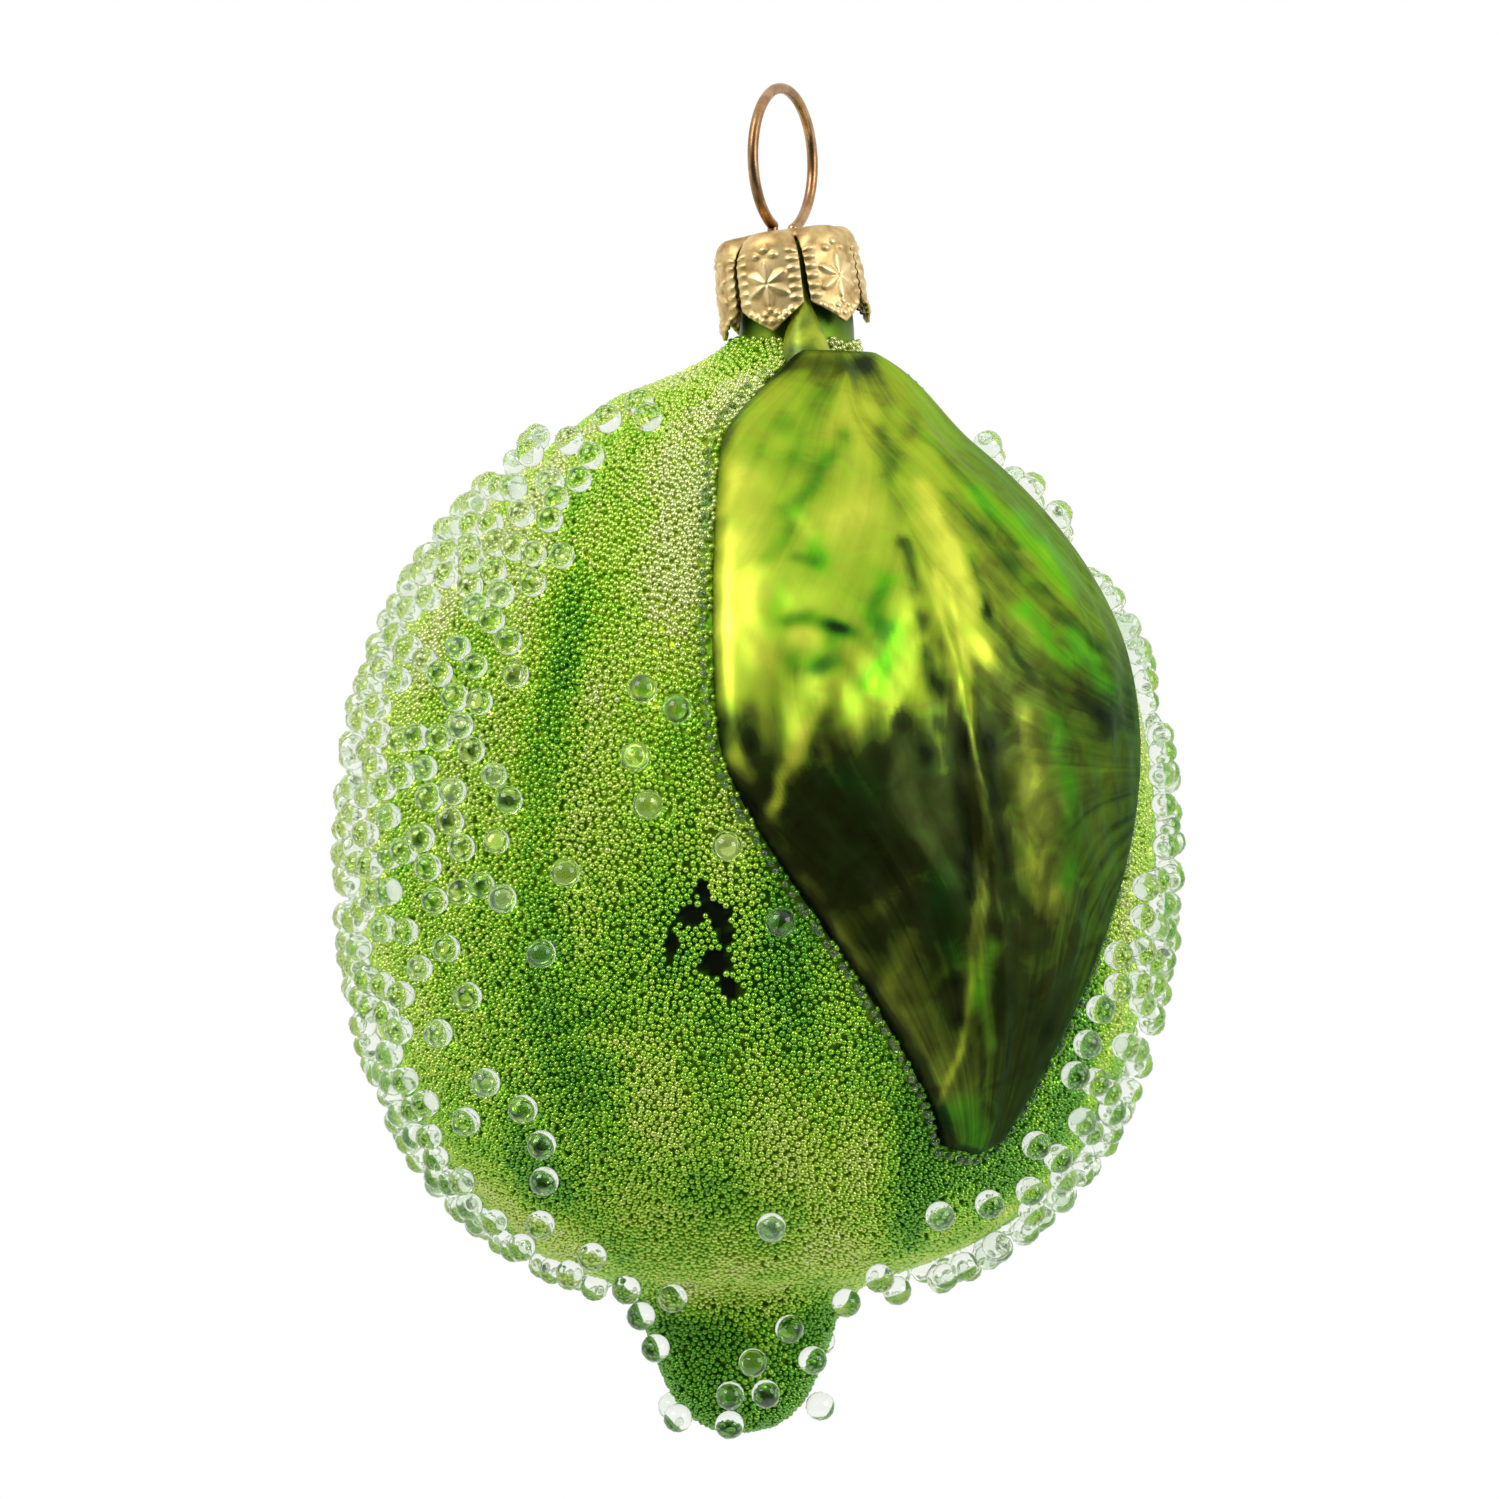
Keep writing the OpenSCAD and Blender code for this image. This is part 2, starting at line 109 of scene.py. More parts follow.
def bulb_rings(segments, steps):
    """Rings of points from the nipple's tip up to the foot of the neck."""
    turn = np.arange(segments) / segments * 2 * math.pi

    def ring(x, r, z):
        return circle(x, 0, r, z, turn)

    body = between(body_outline(steps), nipple_foot_r, neck_fillet_r)
    bowl = pull([(r * nipple_r, nipple_z - h * nipple_h) for r, h in nipple_shares],
                np.linspace(0, bowl_share, steps // 4)[1:])
    foot = np.array((body[0, 0], body_z + body[0, 1]))
    side_slope = (bowl[-1] - bowl[-2]) / (bowl[-1, 1] - bowl[-2, 1])
    corner = bowl[-1] + side_slope * (foot[1] - hollow_drop - bowl[-1, 1])
    hollow = pull([bowl[-1], corner, foot], np.linspace(0, 1, steps // 10)[1:-1])
    rings = [ring(nipple_x, r, z) for r, z in np.vstack((bowl, hollow))]
    for r, z in body:
        lean = eased((r - nipple_foot_r) / nipple_lean_run)
        rings.append(ring(nipple_x + (body_x - nipple_x) * lean if z < 0 else body_x, r, body_z + z))
    start = ring(body_x, neck_fillet_r, body_z + body_z_at(neck_fillet_r))
    end = ring(neck_x, neck_foot_r, neck_foot_z)
    corner = end.copy()
    corner[:, 2] = body_z + body_z_at(np.hypot(end[:, 0] - body_x, end[:, 1]))
    for t in np.linspace(0, 1, steps // 10):
        rings.append((1 - t) ** 2 * start + 2 * t * (1 - t) * corner + t * t * end)
    return rings, ring


def put(name, data):
    """New object in the scene, at the origin."""
    made = bpy.data.objects.new(name, data)
    bpy.context.scene.collection.objects.link(made)
    return made


def mesh_object(name, points, faces):
    """Smooth mesh from points in millimetres, as an object."""
    mesh = bpy.data.meshes.new(name)
    mesh.from_pydata((np.asarray(points) * MM).tolist(), [], faces)
    mesh.polygons.foreach_set("use_smooth", [True] * len(mesh.polygons))
    mesh.update()
    return put(name, mesh)


def skin(name, rings, start_pole, end_pole):
    """Mesh through rings of equally many points, with its two ends closed to a point each."""
    count, last = len(rings[0]), (len(rings) - 1) * len(rings[0])
    points = [tuple(p) for r in rings for p in r] + [tuple(start_pole), tuple(end_pole)]
    faces = []
    for a in range(0, last, count):
        for j in range(count):
            k = (j + 1) % count
            faces.append((a + j, a + k, a + count + k, a + count + j))
    faces += [(len(points) - 2, (j + 1) % count, j) for j in range(count)]
    faces += [(last + j, last + (j + 1) % count, len(points) - 1) for j in range(count)]
    return mesh_object(name, np.array(points), faces)


rings, ring = bulb_rings(220, 140)
neck_l = neck_rim_z - neck_lip - neck_foot_z
rings += [ring(neck_x, neck_foot_r + (neck_rim_r - neck_foot_r) * t, neck_foot_z + neck_l * t)
          for t in np.linspace(0, 1, 6)[1:]]
rim_mid_r, rim_half = (neck_rim_r + neck_bore_r) / 2, (neck_rim_r - neck_bore_r) / 2
rings += [ring(neck_x, rim_mid_r + rim_half * math.cos(a), neck_rim_z - neck_lip + neck_lip * math.sin(a))
          for a in np.linspace(0, math.pi, 7)[1:]]
rings.append(ring(neck_x, neck_bore_r, body_z + body_top_h - bore_depth))
for r, z in between(body_outline(60), inner_foot_r, inner_shoulder_r)[::-1]:
    rings.append(ring(body_x, r - glass_wall, body_z + z * (1 - glass_wall / body_low_h)))
rings.append(ring(nipple_x, nipple_r - glass_wall, nipple_z))
rings.append(ring(nipple_x, (nipple_r - glass_wall) * inner_bowl_r, nipple_z - nipple_h * inner_bowl_h))
nipple_tip = nipple_z - nipple_h
bulb = skin("glass_bulb", rings, (nipple_x, 0, nipple_tip), (nipple_x, 0, nipple_tip + glass_wall))


def feed(tree, socket, value):
    """Gives an input its value, or links it to a socket, or to the first output of a node that is in use."""
    if isinstance(value, bpy.types.Node):
        value = next(s for s in value.outputs if s.enabled)
    if isinstance(value, bpy.types.NodeSocket):
        tree.links.new(value, socket)
    else:
        socket.default_value = value


def give(tree, node, **values):
    """Feeds the inputs of a node by their names."""
    for key, value in values.items():
        feed(tree, node.inputs[key.replace("_", " ")], value)
    return node


def add(tree, kind, **values):
    """Node of a kind in a tree, with its own settings, named after set_, and its inputs."""
    node = tree.nodes.new(kind)
    for key in [k for k in values if k.startswith("set_")]:
        setattr(node, key[4:], values.pop(key))
    return give(tree, node, **values)


def math_node(tree, operation, *values):
    node = add(tree, "ShaderNodeMath", set_operation=operation)
    for socket, value in zip(node.inputs, values):
        feed(tree, socket, value)
    return node


def ramp_of(tree, source, stops):
    """Colour ramp over a value, from (place, colour) stops."""
    node = add(tree, "ShaderNodeValToRGB", Fac=source)
    while len(node.color_ramp.elements) < len(stops):
        node.color_ramp.elements.new(0.5)
    for element, (place, colour) in zip(node.color_ramp.elements, stops):
        element.position = place
        element.color = (*colour, 1)
    return node


def mixed(tree, factor, a, b, **settings):
    """One colour over another."""
    return add(tree, "ShaderNodeMix", set_data_type="RGBA", **settings, Factor=factor, A=a, B=b)


def painted(tree, name):
    """Value that a mesh keeps for each of its points."""
    return add(tree, "ShaderNodeAttribute", set_attribute_name=name).outputs["Fac"]


def place_on(tree):
    """Place on a piece, in metres."""
    return tree.nodes.new("ShaderNodeTexCoord").outputs["Object"]


def height_on(tree, **span):
    """Height of a place on a piece, spread over a span of values."""
    axes = add(tree, "ShaderNodeSeparateXYZ", Vector=place_on(tree))
    return add(tree, "ShaderNodeMapRange", Value=axes.outputs["Z"], **span)


def finish(name, **values):
    """New material with its node tree and its shader, whose plain inputs are given by name."""
    made = bpy.data.materials.new(name)
    made.use_nodes = True
    return made, made.node_tree, give(made.node_tree, made.node_tree.nodes["Principled BSDF"], **values)


def node_group(name, kind, takes, gives):
    """Node group with named inputs and outputs, and their sockets inside it."""
    group = bpy.data.node_groups.new(name, kind)
    for in_out, sockets in (("INPUT", takes), ("OUTPUT", gives)):
        for label, holds in sockets.items():
            group.interface.new_socket(label, in_out=in_out, socket_type="NodeSocket" + holds)
    return group, group.nodes.new("NodeGroupInput").outputs, group.nodes.new("NodeGroupOutput").inputs


def streak_group():
    """Shader group for brushed lacquer: thin streaks along one axis over broad patches."""
    group, source, result = node_group("lacquer_streaks", "ShaderNodeTree", {
        "Vector": "Vector", "Streak scale": "Float", "Patch scale": "Float", "Patch share": "Float"},
        {"Tone": "Float"})
    streaks = add(group, "ShaderNodeTexNoise", Vector=source["Vector"], Scale=source["Streak scale"],
                  Detail=4.0, Roughness=0.55, Distortion=0.6)
    patches = add(group, "ShaderNodeTexNoise", Vector=source["Vector"], Scale=source["Patch scale"],
                  Detail=2.0, Roughness=0.5, Distortion=0.3)
    mix = add(group, "ShaderNodeMix", set_data_type="FLOAT", Factor=source["Patch share"], A=streaks, B=patches)
    feed(group, result["Tone"], mix)
    return group


lacquer_streaks = streak_group()


def streaks_on(tree, place, streak_scale, patch_scale, patch_share):
    """Tone of brushed lacquer at a place."""
    return add(tree, "ShaderNodeGroup", set_node_tree=lacquer_streaks, Vector=place, Streak_scale=streak_scale,
               Patch_scale=patch_scale, Patch_share=patch_share)


# Where beads have come off the face: sideways, height, half width, half height
bald_spots = (
    (-5.34, -50.5, 0.46, 0.79), (-4.81, -52.15, 1.3, 0.86), (-6.26, -52.15, 0.86, 0.66),
    (-7.44, -54.1, 0.46, 1.12), (-4.55, -55.25, 1.0, 0.92), (-3.63, -56.95, 0.72, 0.79), (-4.0, -53.5, 0.6, 0.8))
# Where the brush left more or less lacquer on the face: the same, and the change of tone
brush_marks = (
    (-14.2, -35.0, 1.3, 9.5, -0.13), (-10.5, -32.0, 1.8, 9.0, -0.03), (-6.9, -31.0, 1.9, 10.0, 0.10),
    (-18.4, -36.0, 1.9, 9.0, 0.11), (-5.6, -55.0, 5.0, 5.0, -0.14), (8.6, -71.0, 1.4, 5.5, -0.14),
    (-18.0, -47.0, 3.6, 7.5, 0.14), (-6.0, -19.0, 4.0, 4.0, 0.10), (-11.9, -60.4, 2.0, 0.7, 0.16),
    (4.6, -67.0, 2.6, 6.0, 0.08), (-13.0, -29.5, 3.0, 4.0, 0.06))
bare_reach, bare_fade = 1.2, 0.8


def spread(spot, mark):
    """Square of the distance from a mark on the face, in its own half sizes."""
    return ((spot[:, 0] - mark[0]) / mark[2]) ** 2 + ((spot[:, 2] - mark[1]) / mark[3]) ** 2


def brushed(spot):
    """Change of tone by the brush at points of the face."""
    return (spot[:, 1] < 0) * sum(m[4] * np.exp(-spread(spot, m)) for m in brush_marks)


def keep(made, name, values):
    """Stores one value for each point of a mesh."""
    layer = made.data.attributes.new(name, "FLOAT", "POINT")
    layer.data.foreach_set("value", np.asarray(values, np.float32))


spot = np.zeros(len(bulb.data.vertices) * 3)
bulb.data.vertices.foreach_get("co", spot)
spot = spot.reshape(-1, 3) / MM
bare = np.max([1 - eased((spread(spot, m) - bare_reach) / bare_fade) for m in bald_spots], axis=0)
keep(bulb, "brush_marks", brushed(spot))
keep(bulb, "bare_glass", (spot[:, 1] < 0) * bare)

bulb_lacquer_and_painted_shade, tree, shader = finish("bulb_lacquer_and_painted_shade", Metallic=0.8, Roughness=0.42)
stretch = add(tree, "ShaderNodeMapping", Vector=place_on(tree), Scale=(1, 1, 0.22))
tone = math_node(tree, "ADD", streaks_on(tree, stretch, 230.0, 80.0, 0.5), painted(tree, "brush_marks"))
green = ramp_of(tree, tone, (
    (0.28, (0.04, 0.15, 0.003)), (0.42, (0.10, 0.27, 0.005)),
    (0.52, (0.23, 0.40, 0.010)), (0.66, (0.42, 0.52, 0.020))))
# Painted shade: the colour darkens on the neck just under the cap, and it is also darker towards the nipple
depth = ramp_of(tree, height_on(tree, From_Min=-0.090, From_Max=-0.005), (
    (0.03, (0.28, 0.40, 0.28)), (0.10, (0.42, 0.54, 0.40)), (0.16, (0.85, 0.88, 0.75)),
    (0.45, (0.90, 0.92, 0.85)), (0.75, (1.0, 1.0, 1.0)), (0.89, (1.0, 1.0, 1.0)), (0.925, (0.14, 0.24, 0.16))))
shaded = mixed(tree, 1.0, green, depth, set_blend_type="MULTIPLY")
dents = add(tree, "ShaderNodeTexNoise", Vector=place_on(tree), Scale=160.0, Detail=2.0)
# Where the beads are gone the bare glass is painted nearly black, a painted reflection of the dark room in front
give(tree, shader, Base_Color=mixed(tree, painted(tree, "bare_glass"), shaded, (0.006, 0.013, 0.004, 1)),
     Normal=add(tree, "ShaderNodeBump", Strength=0.12, Distance=0.0004, Height=dents))
bulb.data.materials.append(bulb_lacquer_and_painted_shade)
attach(bulb, "bauble")
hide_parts("glass_shell")

# Mirror lining: the silvering that was rinsed over the inside of the bulb.
# It is hidden behind the lacquer and shows only through the open neck.
silvering, tree, shader = finish("silvering", Metallic=1.0, Roughness=0.08)
rinse = add(tree, "ShaderNodeTexNoise", Vector=place_on(tree), Scale=120.0, Detail=3.0)
give(tree, shader, Base_Color=ramp_of(tree, rinse, ((0.3, (0.70, 0.71, 0.69)), (0.7, (0.88, 0.89, 0.87)))))
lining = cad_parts["mirror_lining"]
lining.data.materials.clear()
lining.data.materials.append(silvering)

# Leaf: a smooth raised leaf with its stem, blown in relief on the bulb and left bare of beads.
# Its colour runs from bright yellow-green near the stem to nearly black below the middle, in streaks that
# follow the veins: green lacquer under a painted reflection, bright above and dark below, with painted shade on
# its rounded rim.
leaf_az = math.radians(30)
leaf_left_w, leaf_right_w, leaf_top_h, leaf_low_h = 16.6, 18.7, 34.2, 20.0
leaf_rise, leaf_crown, crown_run, rim_round, leaf_sink = 1.35, 0.75, 9, 1.25, 0.12
rib_h, rib_half, vein_h, vein_half, vein_pairs = 0.30, 0.55, 0.10, 1.1, 6
vein_bend, vein_end, vein_shift, vein_spaces = (7.0, -5.5), (12.0, -15.5), 0.3, 7.5
wave_h, ripple_h, plain_rim, plain_run = 0.16, 0.07, 0.8, 2.5
leaf_lean_z, leaf_lean_run = 27, 7
left_shares = (((-0.169, 1), (-0.60, 0.86), (-0.93, 0.55), (-0.935, 0.249)),
               ((-0.935, 0.249), (-0.965, 0.02), (-0.15, -0.65), (0.032, -0.965)))
right_shares = (((0.3, -0.955), (0.481, -0.55), (0.963, 0.029), (1, 0.38)),
                ((1, 0.38), (1.016, 0.585), (0.508, 0.892), (0.128, 1)))
tip_share = (0.193, -1)
rib_shares = ((-0.018, 1.03), (-0.271, 0.585), (0.08, 0.058), tip_share)


def on_leaf(shares):
    """Points sideways and up from the leaf's middle, from shares of its size."""
    return [(s * (leaf_left_w if s < 0 else leaf_right_w), h * (leaf_low_h if h < 0 else leaf_top_h))
            for s, h in shares]


steps = np.linspace(0, 1, 60)
leaf_tip = np.array(on_leaf([tip_share]))
left_edge = np.vstack([pull(on_leaf(s), steps) for s in left_shares] + [leaf_tip])
right_edge = np.vstack([leaf_tip] + [pull(on_leaf(s), steps) for s in right_shares])
leaf_ring = np.vstack((left_edge, right_edge))
rib_line = pull(on_leaf(rib_shares), np.linspace(0, 1, 120))


def left_at(z):
    return np.interp(z, left_edge[::-1, 1], left_edge[::-1, 0])


def right_at(z):
    return np.interp(z, right_edge[:, 1], right_edge[:, 0])


def line_gap(points, line):
    """Distance of points from a drawn line."""
    best = np.full(len(points), 1e9)
    for a, b in zip(line, line[1:]):
        d = b - a
        if d @ d < 1e-12:
            continue
        t = np.clip(((points - a) @ d) / (d @ d), 0, 1)
        best = np.minimum(best, np.hypot(*(points - a - t[:, None] * d).T))
    return best


def leaf_axis(z):
    """The leaf turns around the body's axis, and at its top around the neck's."""
    return body_x + (neck_x - body_x) * eased((z - leaf_lean_z) / leaf_lean_run)


def on_body(sideways, z, lift):
    """Points on the leaf's side of the body at a height above its surface."""
    r, dz = body_r_at(z), 0.3
    slope = (body_r_at(z + dz) - body_r_at(z - dz)) / (2 * dz)
    out = 1 / np.sqrt(1 + slope ** 2)
    turn = leaf_az + np.arcsin(np.clip(sideways / r, -1, 1))
    reach = r + lift * out
    return np.column_stack((leaf_axis(z) + reach * np.sin(turn), -reach * np.cos(turn),
                            body_z + z - lift * out * slope))


leaf_rows, leaf_columns = 230, 120
row = np.linspace(0, 1, leaf_rows)
column = np.linspace(0, 1, leaf_columns)
column = 0.55 * column + 0.45 * (0.5 - 0.5 * np.cos(column * math.pi))
row_z = leaf_top_h + (leaf_tip[0, 1] - leaf_top_h) * (0.9 * row + 0.1 * eased(row))
leaf_z, leaf_u = np.repeat(row_z, leaf_columns), np.tile(column, leaf_rows)
leaf_v = (leaf_top_h - leaf_z) / (leaf_top_h + leaf_low_h)
leaf_w = right_at(leaf_z) - left_at(leaf_z)
leaf_p = left_at(leaf_z) + leaf_w * leaf_u
flat = np.column_stack((leaf_p, leaf_z))
edge_gap = line_gap(flat, np.vstack((leaf_ring, leaf_ring[:1])))
rib_gap = line_gap(flat, rib_line)
inner = eased((edge_gap - plain_rim) / plain_run)
lift = leaf_rise * np.sqrt(np.clip(1 - (1 - np.clip(edge_gap / rim_round, 0, 1)) ** 2, 0, 1))
lift += leaf_crown * eased(edge_gap / crown_run)
lift += rib_h * np.exp(-(rib_gap / rib_half) ** 2) * inner
for i in range(1, vein_pairs + 1):
    root = rib_line[int((len(rib_line) - 2) * (i - vein_shift) / vein_spaces)]
    for side in ((-1, 1), (1, 1)):
        vein = pull([root, root + np.multiply(vein_bend, side), root + np.multiply(vein_end, side)],
                    np.linspace(0, 1, 12))
        lift += vein_h * np.exp(-(line_gap(flat, vein) / vein_half) ** 2) * inner
lift += wave_h * np.sin(leaf_p * 0.9 + 1.7 * np.sin(leaf_z * 0.31)) * np.sin(leaf_z * 0.37 + 0.6) * inner
lift += (ripple_h * np.sin(leaf_p * 2.1 + 2.0 * np.sin(leaf_z * 0.5)) * np.sin(leaf_z * 0.8 + leaf_p * 0.4)
         * inner)
top = on_body(leaf_p, leaf_z, np.maximum(lift, 0.0))
under = on_body(leaf_p, leaf_z, np.full(len(leaf_p), -leaf_sink))
total = leaf_rows * leaf_columns
faces = [(a, a + leaf_columns, a + leaf_columns + 1, a + 1)
         for i in range(leaf_rows - 1) for a in range(i * leaf_columns, (i + 1) * leaf_columns - 1)]
faces += [tuple(total + v for v in reversed(f)) for f in faces]
border = (list(range(leaf_columns)) + [i * leaf_columns + leaf_columns - 1 for i in range(1, leaf_rows)]
          + [(leaf_rows - 1) * leaf_columns + j for j in range(leaf_columns - 2, -1, -1)]
          + [i * leaf_columns for i in range(leaf_rows - 2, 0, -1)])
faces += [(a, b, total + b, total + a) for a, b in zip(border, border[1:] + border[:1])]
leaf = mesh_object("leaf_relief", np.vstack((top, under)), faces)

# Strokes on the leaf as seen from the front, partly streaks of its lacquer and partly painted highlights and
# shade of its folds:
# half width in millimetres, then in percent how much lighter and how much greener it is, and the points it runs
# through across and down the leaf
leaf_strokes_and_painted_light = (
    (0.9, 16, -30, (6, 14), (5, 43)), (1.3, 14, -30, (34, 20), (28, 23)), (1, 10, -30, (11, 15), (9, 18)),
    (0.8, 18, -40, (50, 17), (56, 27), (64, 39)), (0.8, 14, -20, (20, 36), (30, 36.5)),
    (2.4, 8, -20, (10, 24), (15, 31)), (2.4, -6, 10, (37, 30), (40, 36)), (2, -5, 0, (72, 50), (73, 58)),
    (2, 6, -40, (34, 8), (37, 9)), (1.3, 14, 20, (23, 29), (26, 31.5)), (1.5, 10, -30, (12, 32), (12, 38)),
    (0.9, -6, 70, (26, 24), (27, 28)), (1, -2, 70, (18, 30), (17, 35)), (0.7, -8, 80, (42, 29), (39, 33)),
    (0.45, -26, 60, (19, 35.2), (25, 34.2), (32, 34.6)), (0.8, -22, 80, (32, 35.5), (29, 38.5), (22, 40)),
    (1.2, -14, 60, (43, 35), (41, 38)), (1, -2, 70, (40, 40), (38, 42)),
    (0.9, 20, 90, (64, 17), (74, 22), (84, 29)), (0.8, 14, 90, (75, 33), (84, 38)),
    (0.7, 12, 80, (86, 36), (94, 42)), (1.6, -12, 40, (19, 11), (21, 13)),
    (1.3, -12, 30, (27, 5.5), (24, 7.5)), (0.7, -15, 50, (32, 11), (26, 16), (20, 21)),
    (0.8, -11, 50, (20, 21), (15, 26)), (0.6, -15, 40, (21, 26.5), (27, 27.2)),
    (1, -22, 20, (41.5, 10), (45, 18)), (0.5, -30, 10, (46, 24), (51.5, 36), (53, 47)),
    (0.5, -17, 30, (57, 18), (68, 25), (75, 29)), (0.5, -15, 20, (77, 30), (92, 37)),
    (0.35, -20, 20, (65, 33), (77, 42)), (0.7, -20, -10, (88, 43), (92, 48)),
    (1.4, -30, -20, (22, 0.8), (36, 0.6)), (1, -24, -20, (35, 1.5), (42, 5), (48, 9)),
    (0.4, -14, 20, (50, 9), (62, 16), (72, 24)), (0.3, -16, 20, (60, 26), (66, 33)),
    (0.3, 12, -20, (53, 20), (60, 31)), (0.5, 34, -20, (28, 44), (22, 50), (17, 57)),
    (0.6, 28, -20, (20, 51), (15, 60)), (0.35, 16, 10, (47, 33), (42, 38), (37, 43)),
    (0.35, 16, 10, (50, 36), (44, 44), (40, 49)), (0.9, 24, -30, (8, 51), (10, 54)),
    (0.8, -22, 0, (8, 47), (11, 50)), (1, -24, 0, (44, 47), (50, 50)), (1.3, 8, 70, (32, 54), (36, 55)),
    (0.7, 22, -30, (16, 60), (27, 69), (36, 77)), (0.9, 13, -20, (47, 66.5), (40, 69), (31, 71.5)),
    (0.9, 12, -20, (48, 72), (41, 79)), (1.4, 10, -30, (44, 81), (57, 93)), (0.6, -24, 0, (65, 47), (68, 65)),
    (1.2, 14, -40, (75, 46), (74.5, 64), (79, 68)), (0.8, 6, 70, (81, 47), (84.5, 57), (83.5, 66)),
    (0.9, 6, 0, (94, 50), (91, 65)), (0.6, 24, 80, (66, 74), (63, 81), (65, 86)),
    (1, 6, 70, (54, 66), (56.5, 75)), (0.9, -14, 0, (71, 68), (75, 74)),
    (0.7, -16, 0, (57.5, 79), (57.5, 83)), (1.2, -8, 0, (67, 78), (77, 84)),
    (1.6, 10, 90, (60, 95), (62, 98)), (0.8, -12, 30, (55, 95), (56, 96)))
# The midrib catches the light in two fine lines with a shadow between them
rib_strokes = (
    (0.3, 20, -20, (53, 28), (56, 37), (58, 47), (60.5, 58), (62.2, 69), (61.5, 79), (58.5, 87), (54, 94)),
    (0.24, 18, -20, (56.5, 30), (60, 41), (62, 52), (63.4, 62), (64, 70), (63.5, 78)),
    (0.5, -20, 0, (54.5, 36), (59, 50), (60.5, 68)))
leaf_face_x, leaf_face_z, leaf_face_w, leaf_face_h = -5.64, -14.4, 29.5, 53.8
leaf_base, right_shade, low_right_shade, foot_shade, rim_shade = 0.68, 0.16, 0.17, 0.10, 0.26
dark_depth, dark_foot_lift = 0.45, 0.14
vein_turn_start, vein_turn_run, left_vein_slope, right_vein_slope = 0.28, 0.45, 0.9, 1.5
streaks_over_vein, streaks_along_vein = 6, 0.8


def waver(points, size, seed):
    """Smooth noise over the leaf, with waves of a size in millimetres."""
    return np.array([noise.noise(Vector((a / size, b / size, seed))) for a, b in points])


seen = np.column_stack((top[:, 0] - leaf_face_x, leaf_face_z - top[:, 2]))
# The hand was not steady: the strokes wander a little to and fro and the paint ran thin in places
steady = seen + 0.5 * np.column_stack((waver(seen, 7.0, 0.0), waver(seen, 7.0, 9.0)))
hand = steady + 0.5 * np.column_stack((waver(seen, 2.4, 3.0), waver(seen, 2.4, 6.0)))
thin = 0.85 + 0.9 * waver(seen, 1.8, 12.0)
face_u, face_v = hand[:, 0] / leaf_face_w, hand[:, 1] / leaf_face_h
# Broad shade comes first: on the right, nearly black below the middle, and towards the foot
dark_start = np.interp(face_u, (0.0, 0.15, 0.30, 0.50, 0.62), (0.452, 0.436, 0.42, 0.395, 0.395))
dark_start += 0.06 * waver(seen * (1.6, 0.5), 2.2, 15.0)
dark_below = eased((face_v - dark_start) / 0.12) * (1 - eased((face_u - 0.58) / 0.12))
leaf_tone = leaf_base - right_shade * eased((face_u - 0.50) / 0.2) * (1 - 0.4 * dark_below)
leaf_tone -= low_right_shade * eased((face_u - 0.60) / 0.1) * eased((face_v - 0.32) / 0.12)
leaf_tone -= (dark_depth - dark_foot_lift * eased((face_v - 0.68) / 0.12)) * dark_below
leaf_tone -= foot_shade * eased((face_v - 0.68) / 0.2) * (1 - dark_below)
leaf_hue = 0.22 + 0.2 * eased((leaf_u - 0.6) / 0.3)
for strokes, drawn in ((leaf_strokes_and_painted_light, hand), (rib_strokes, steady)):
    for half, lighter, greener, *way in strokes:
        way = np.array(way) / 100 * (leaf_face_w, leaf_face_h)
        stroke = thin * np.exp(-(line_gap(drawn, way) / half) ** 2)
        leaf_tone += lighter / 100 * stroke
        leaf_hue += greener / 100 * stroke
leaf_tone -= rim_shade * (1 - eased((edge_gap - 0.15) / 0.85))
keep(leaf, "leaf_tone", np.tile(leaf_tone, 2))
keep(leaf, "leaf_hue", np.tile(leaf_hue, 2))
# The streaks follow the side veins in the upper part and run down along the midrib below
turning = eased((leaf_v - vein_turn_start) / vein_turn_run)
rib_u = (np.interp(leaf_z, rib_line[::-1, 1], rib_line[::-1, 0]) - left_at(leaf_z)) / np.maximum(leaf_w, 0.5)
aside = leaf_u - rib_u
along_vein = np.abs(aside) * (1 - turning) + leaf_v * turning
over_vein = leaf_v - np.where(aside < 0, left_vein_slope, right_vein_slope) * np.abs(aside)
over_vein = over_vein * (1 - turning) + (1.1 * aside + 0.4) * turning
brush = leaf.data.uv_layers.new(name="along_the_veins")
corner = np.zeros(len(leaf.data.loops), np.int32)
leaf.data.loops.foreach_get("vertex_index", corner)
streak_uv = np.column_stack((over_vein * streaks_over_vein, along_vein * streaks_along_vein))
brush.data.foreach_set("uv", np.tile(streak_uv, (2, 1))[corner].ravel())


def stirred(tree, name, stir, amount):
    """Painted value of the leaf, shifted by a noise around its middle."""
    shift = math_node(tree, "MULTIPLY", math_node(tree, "SUBTRACT", stir, 0.5), amount)
    return math_node(tree, "ADD", painted(tree, name), shift)


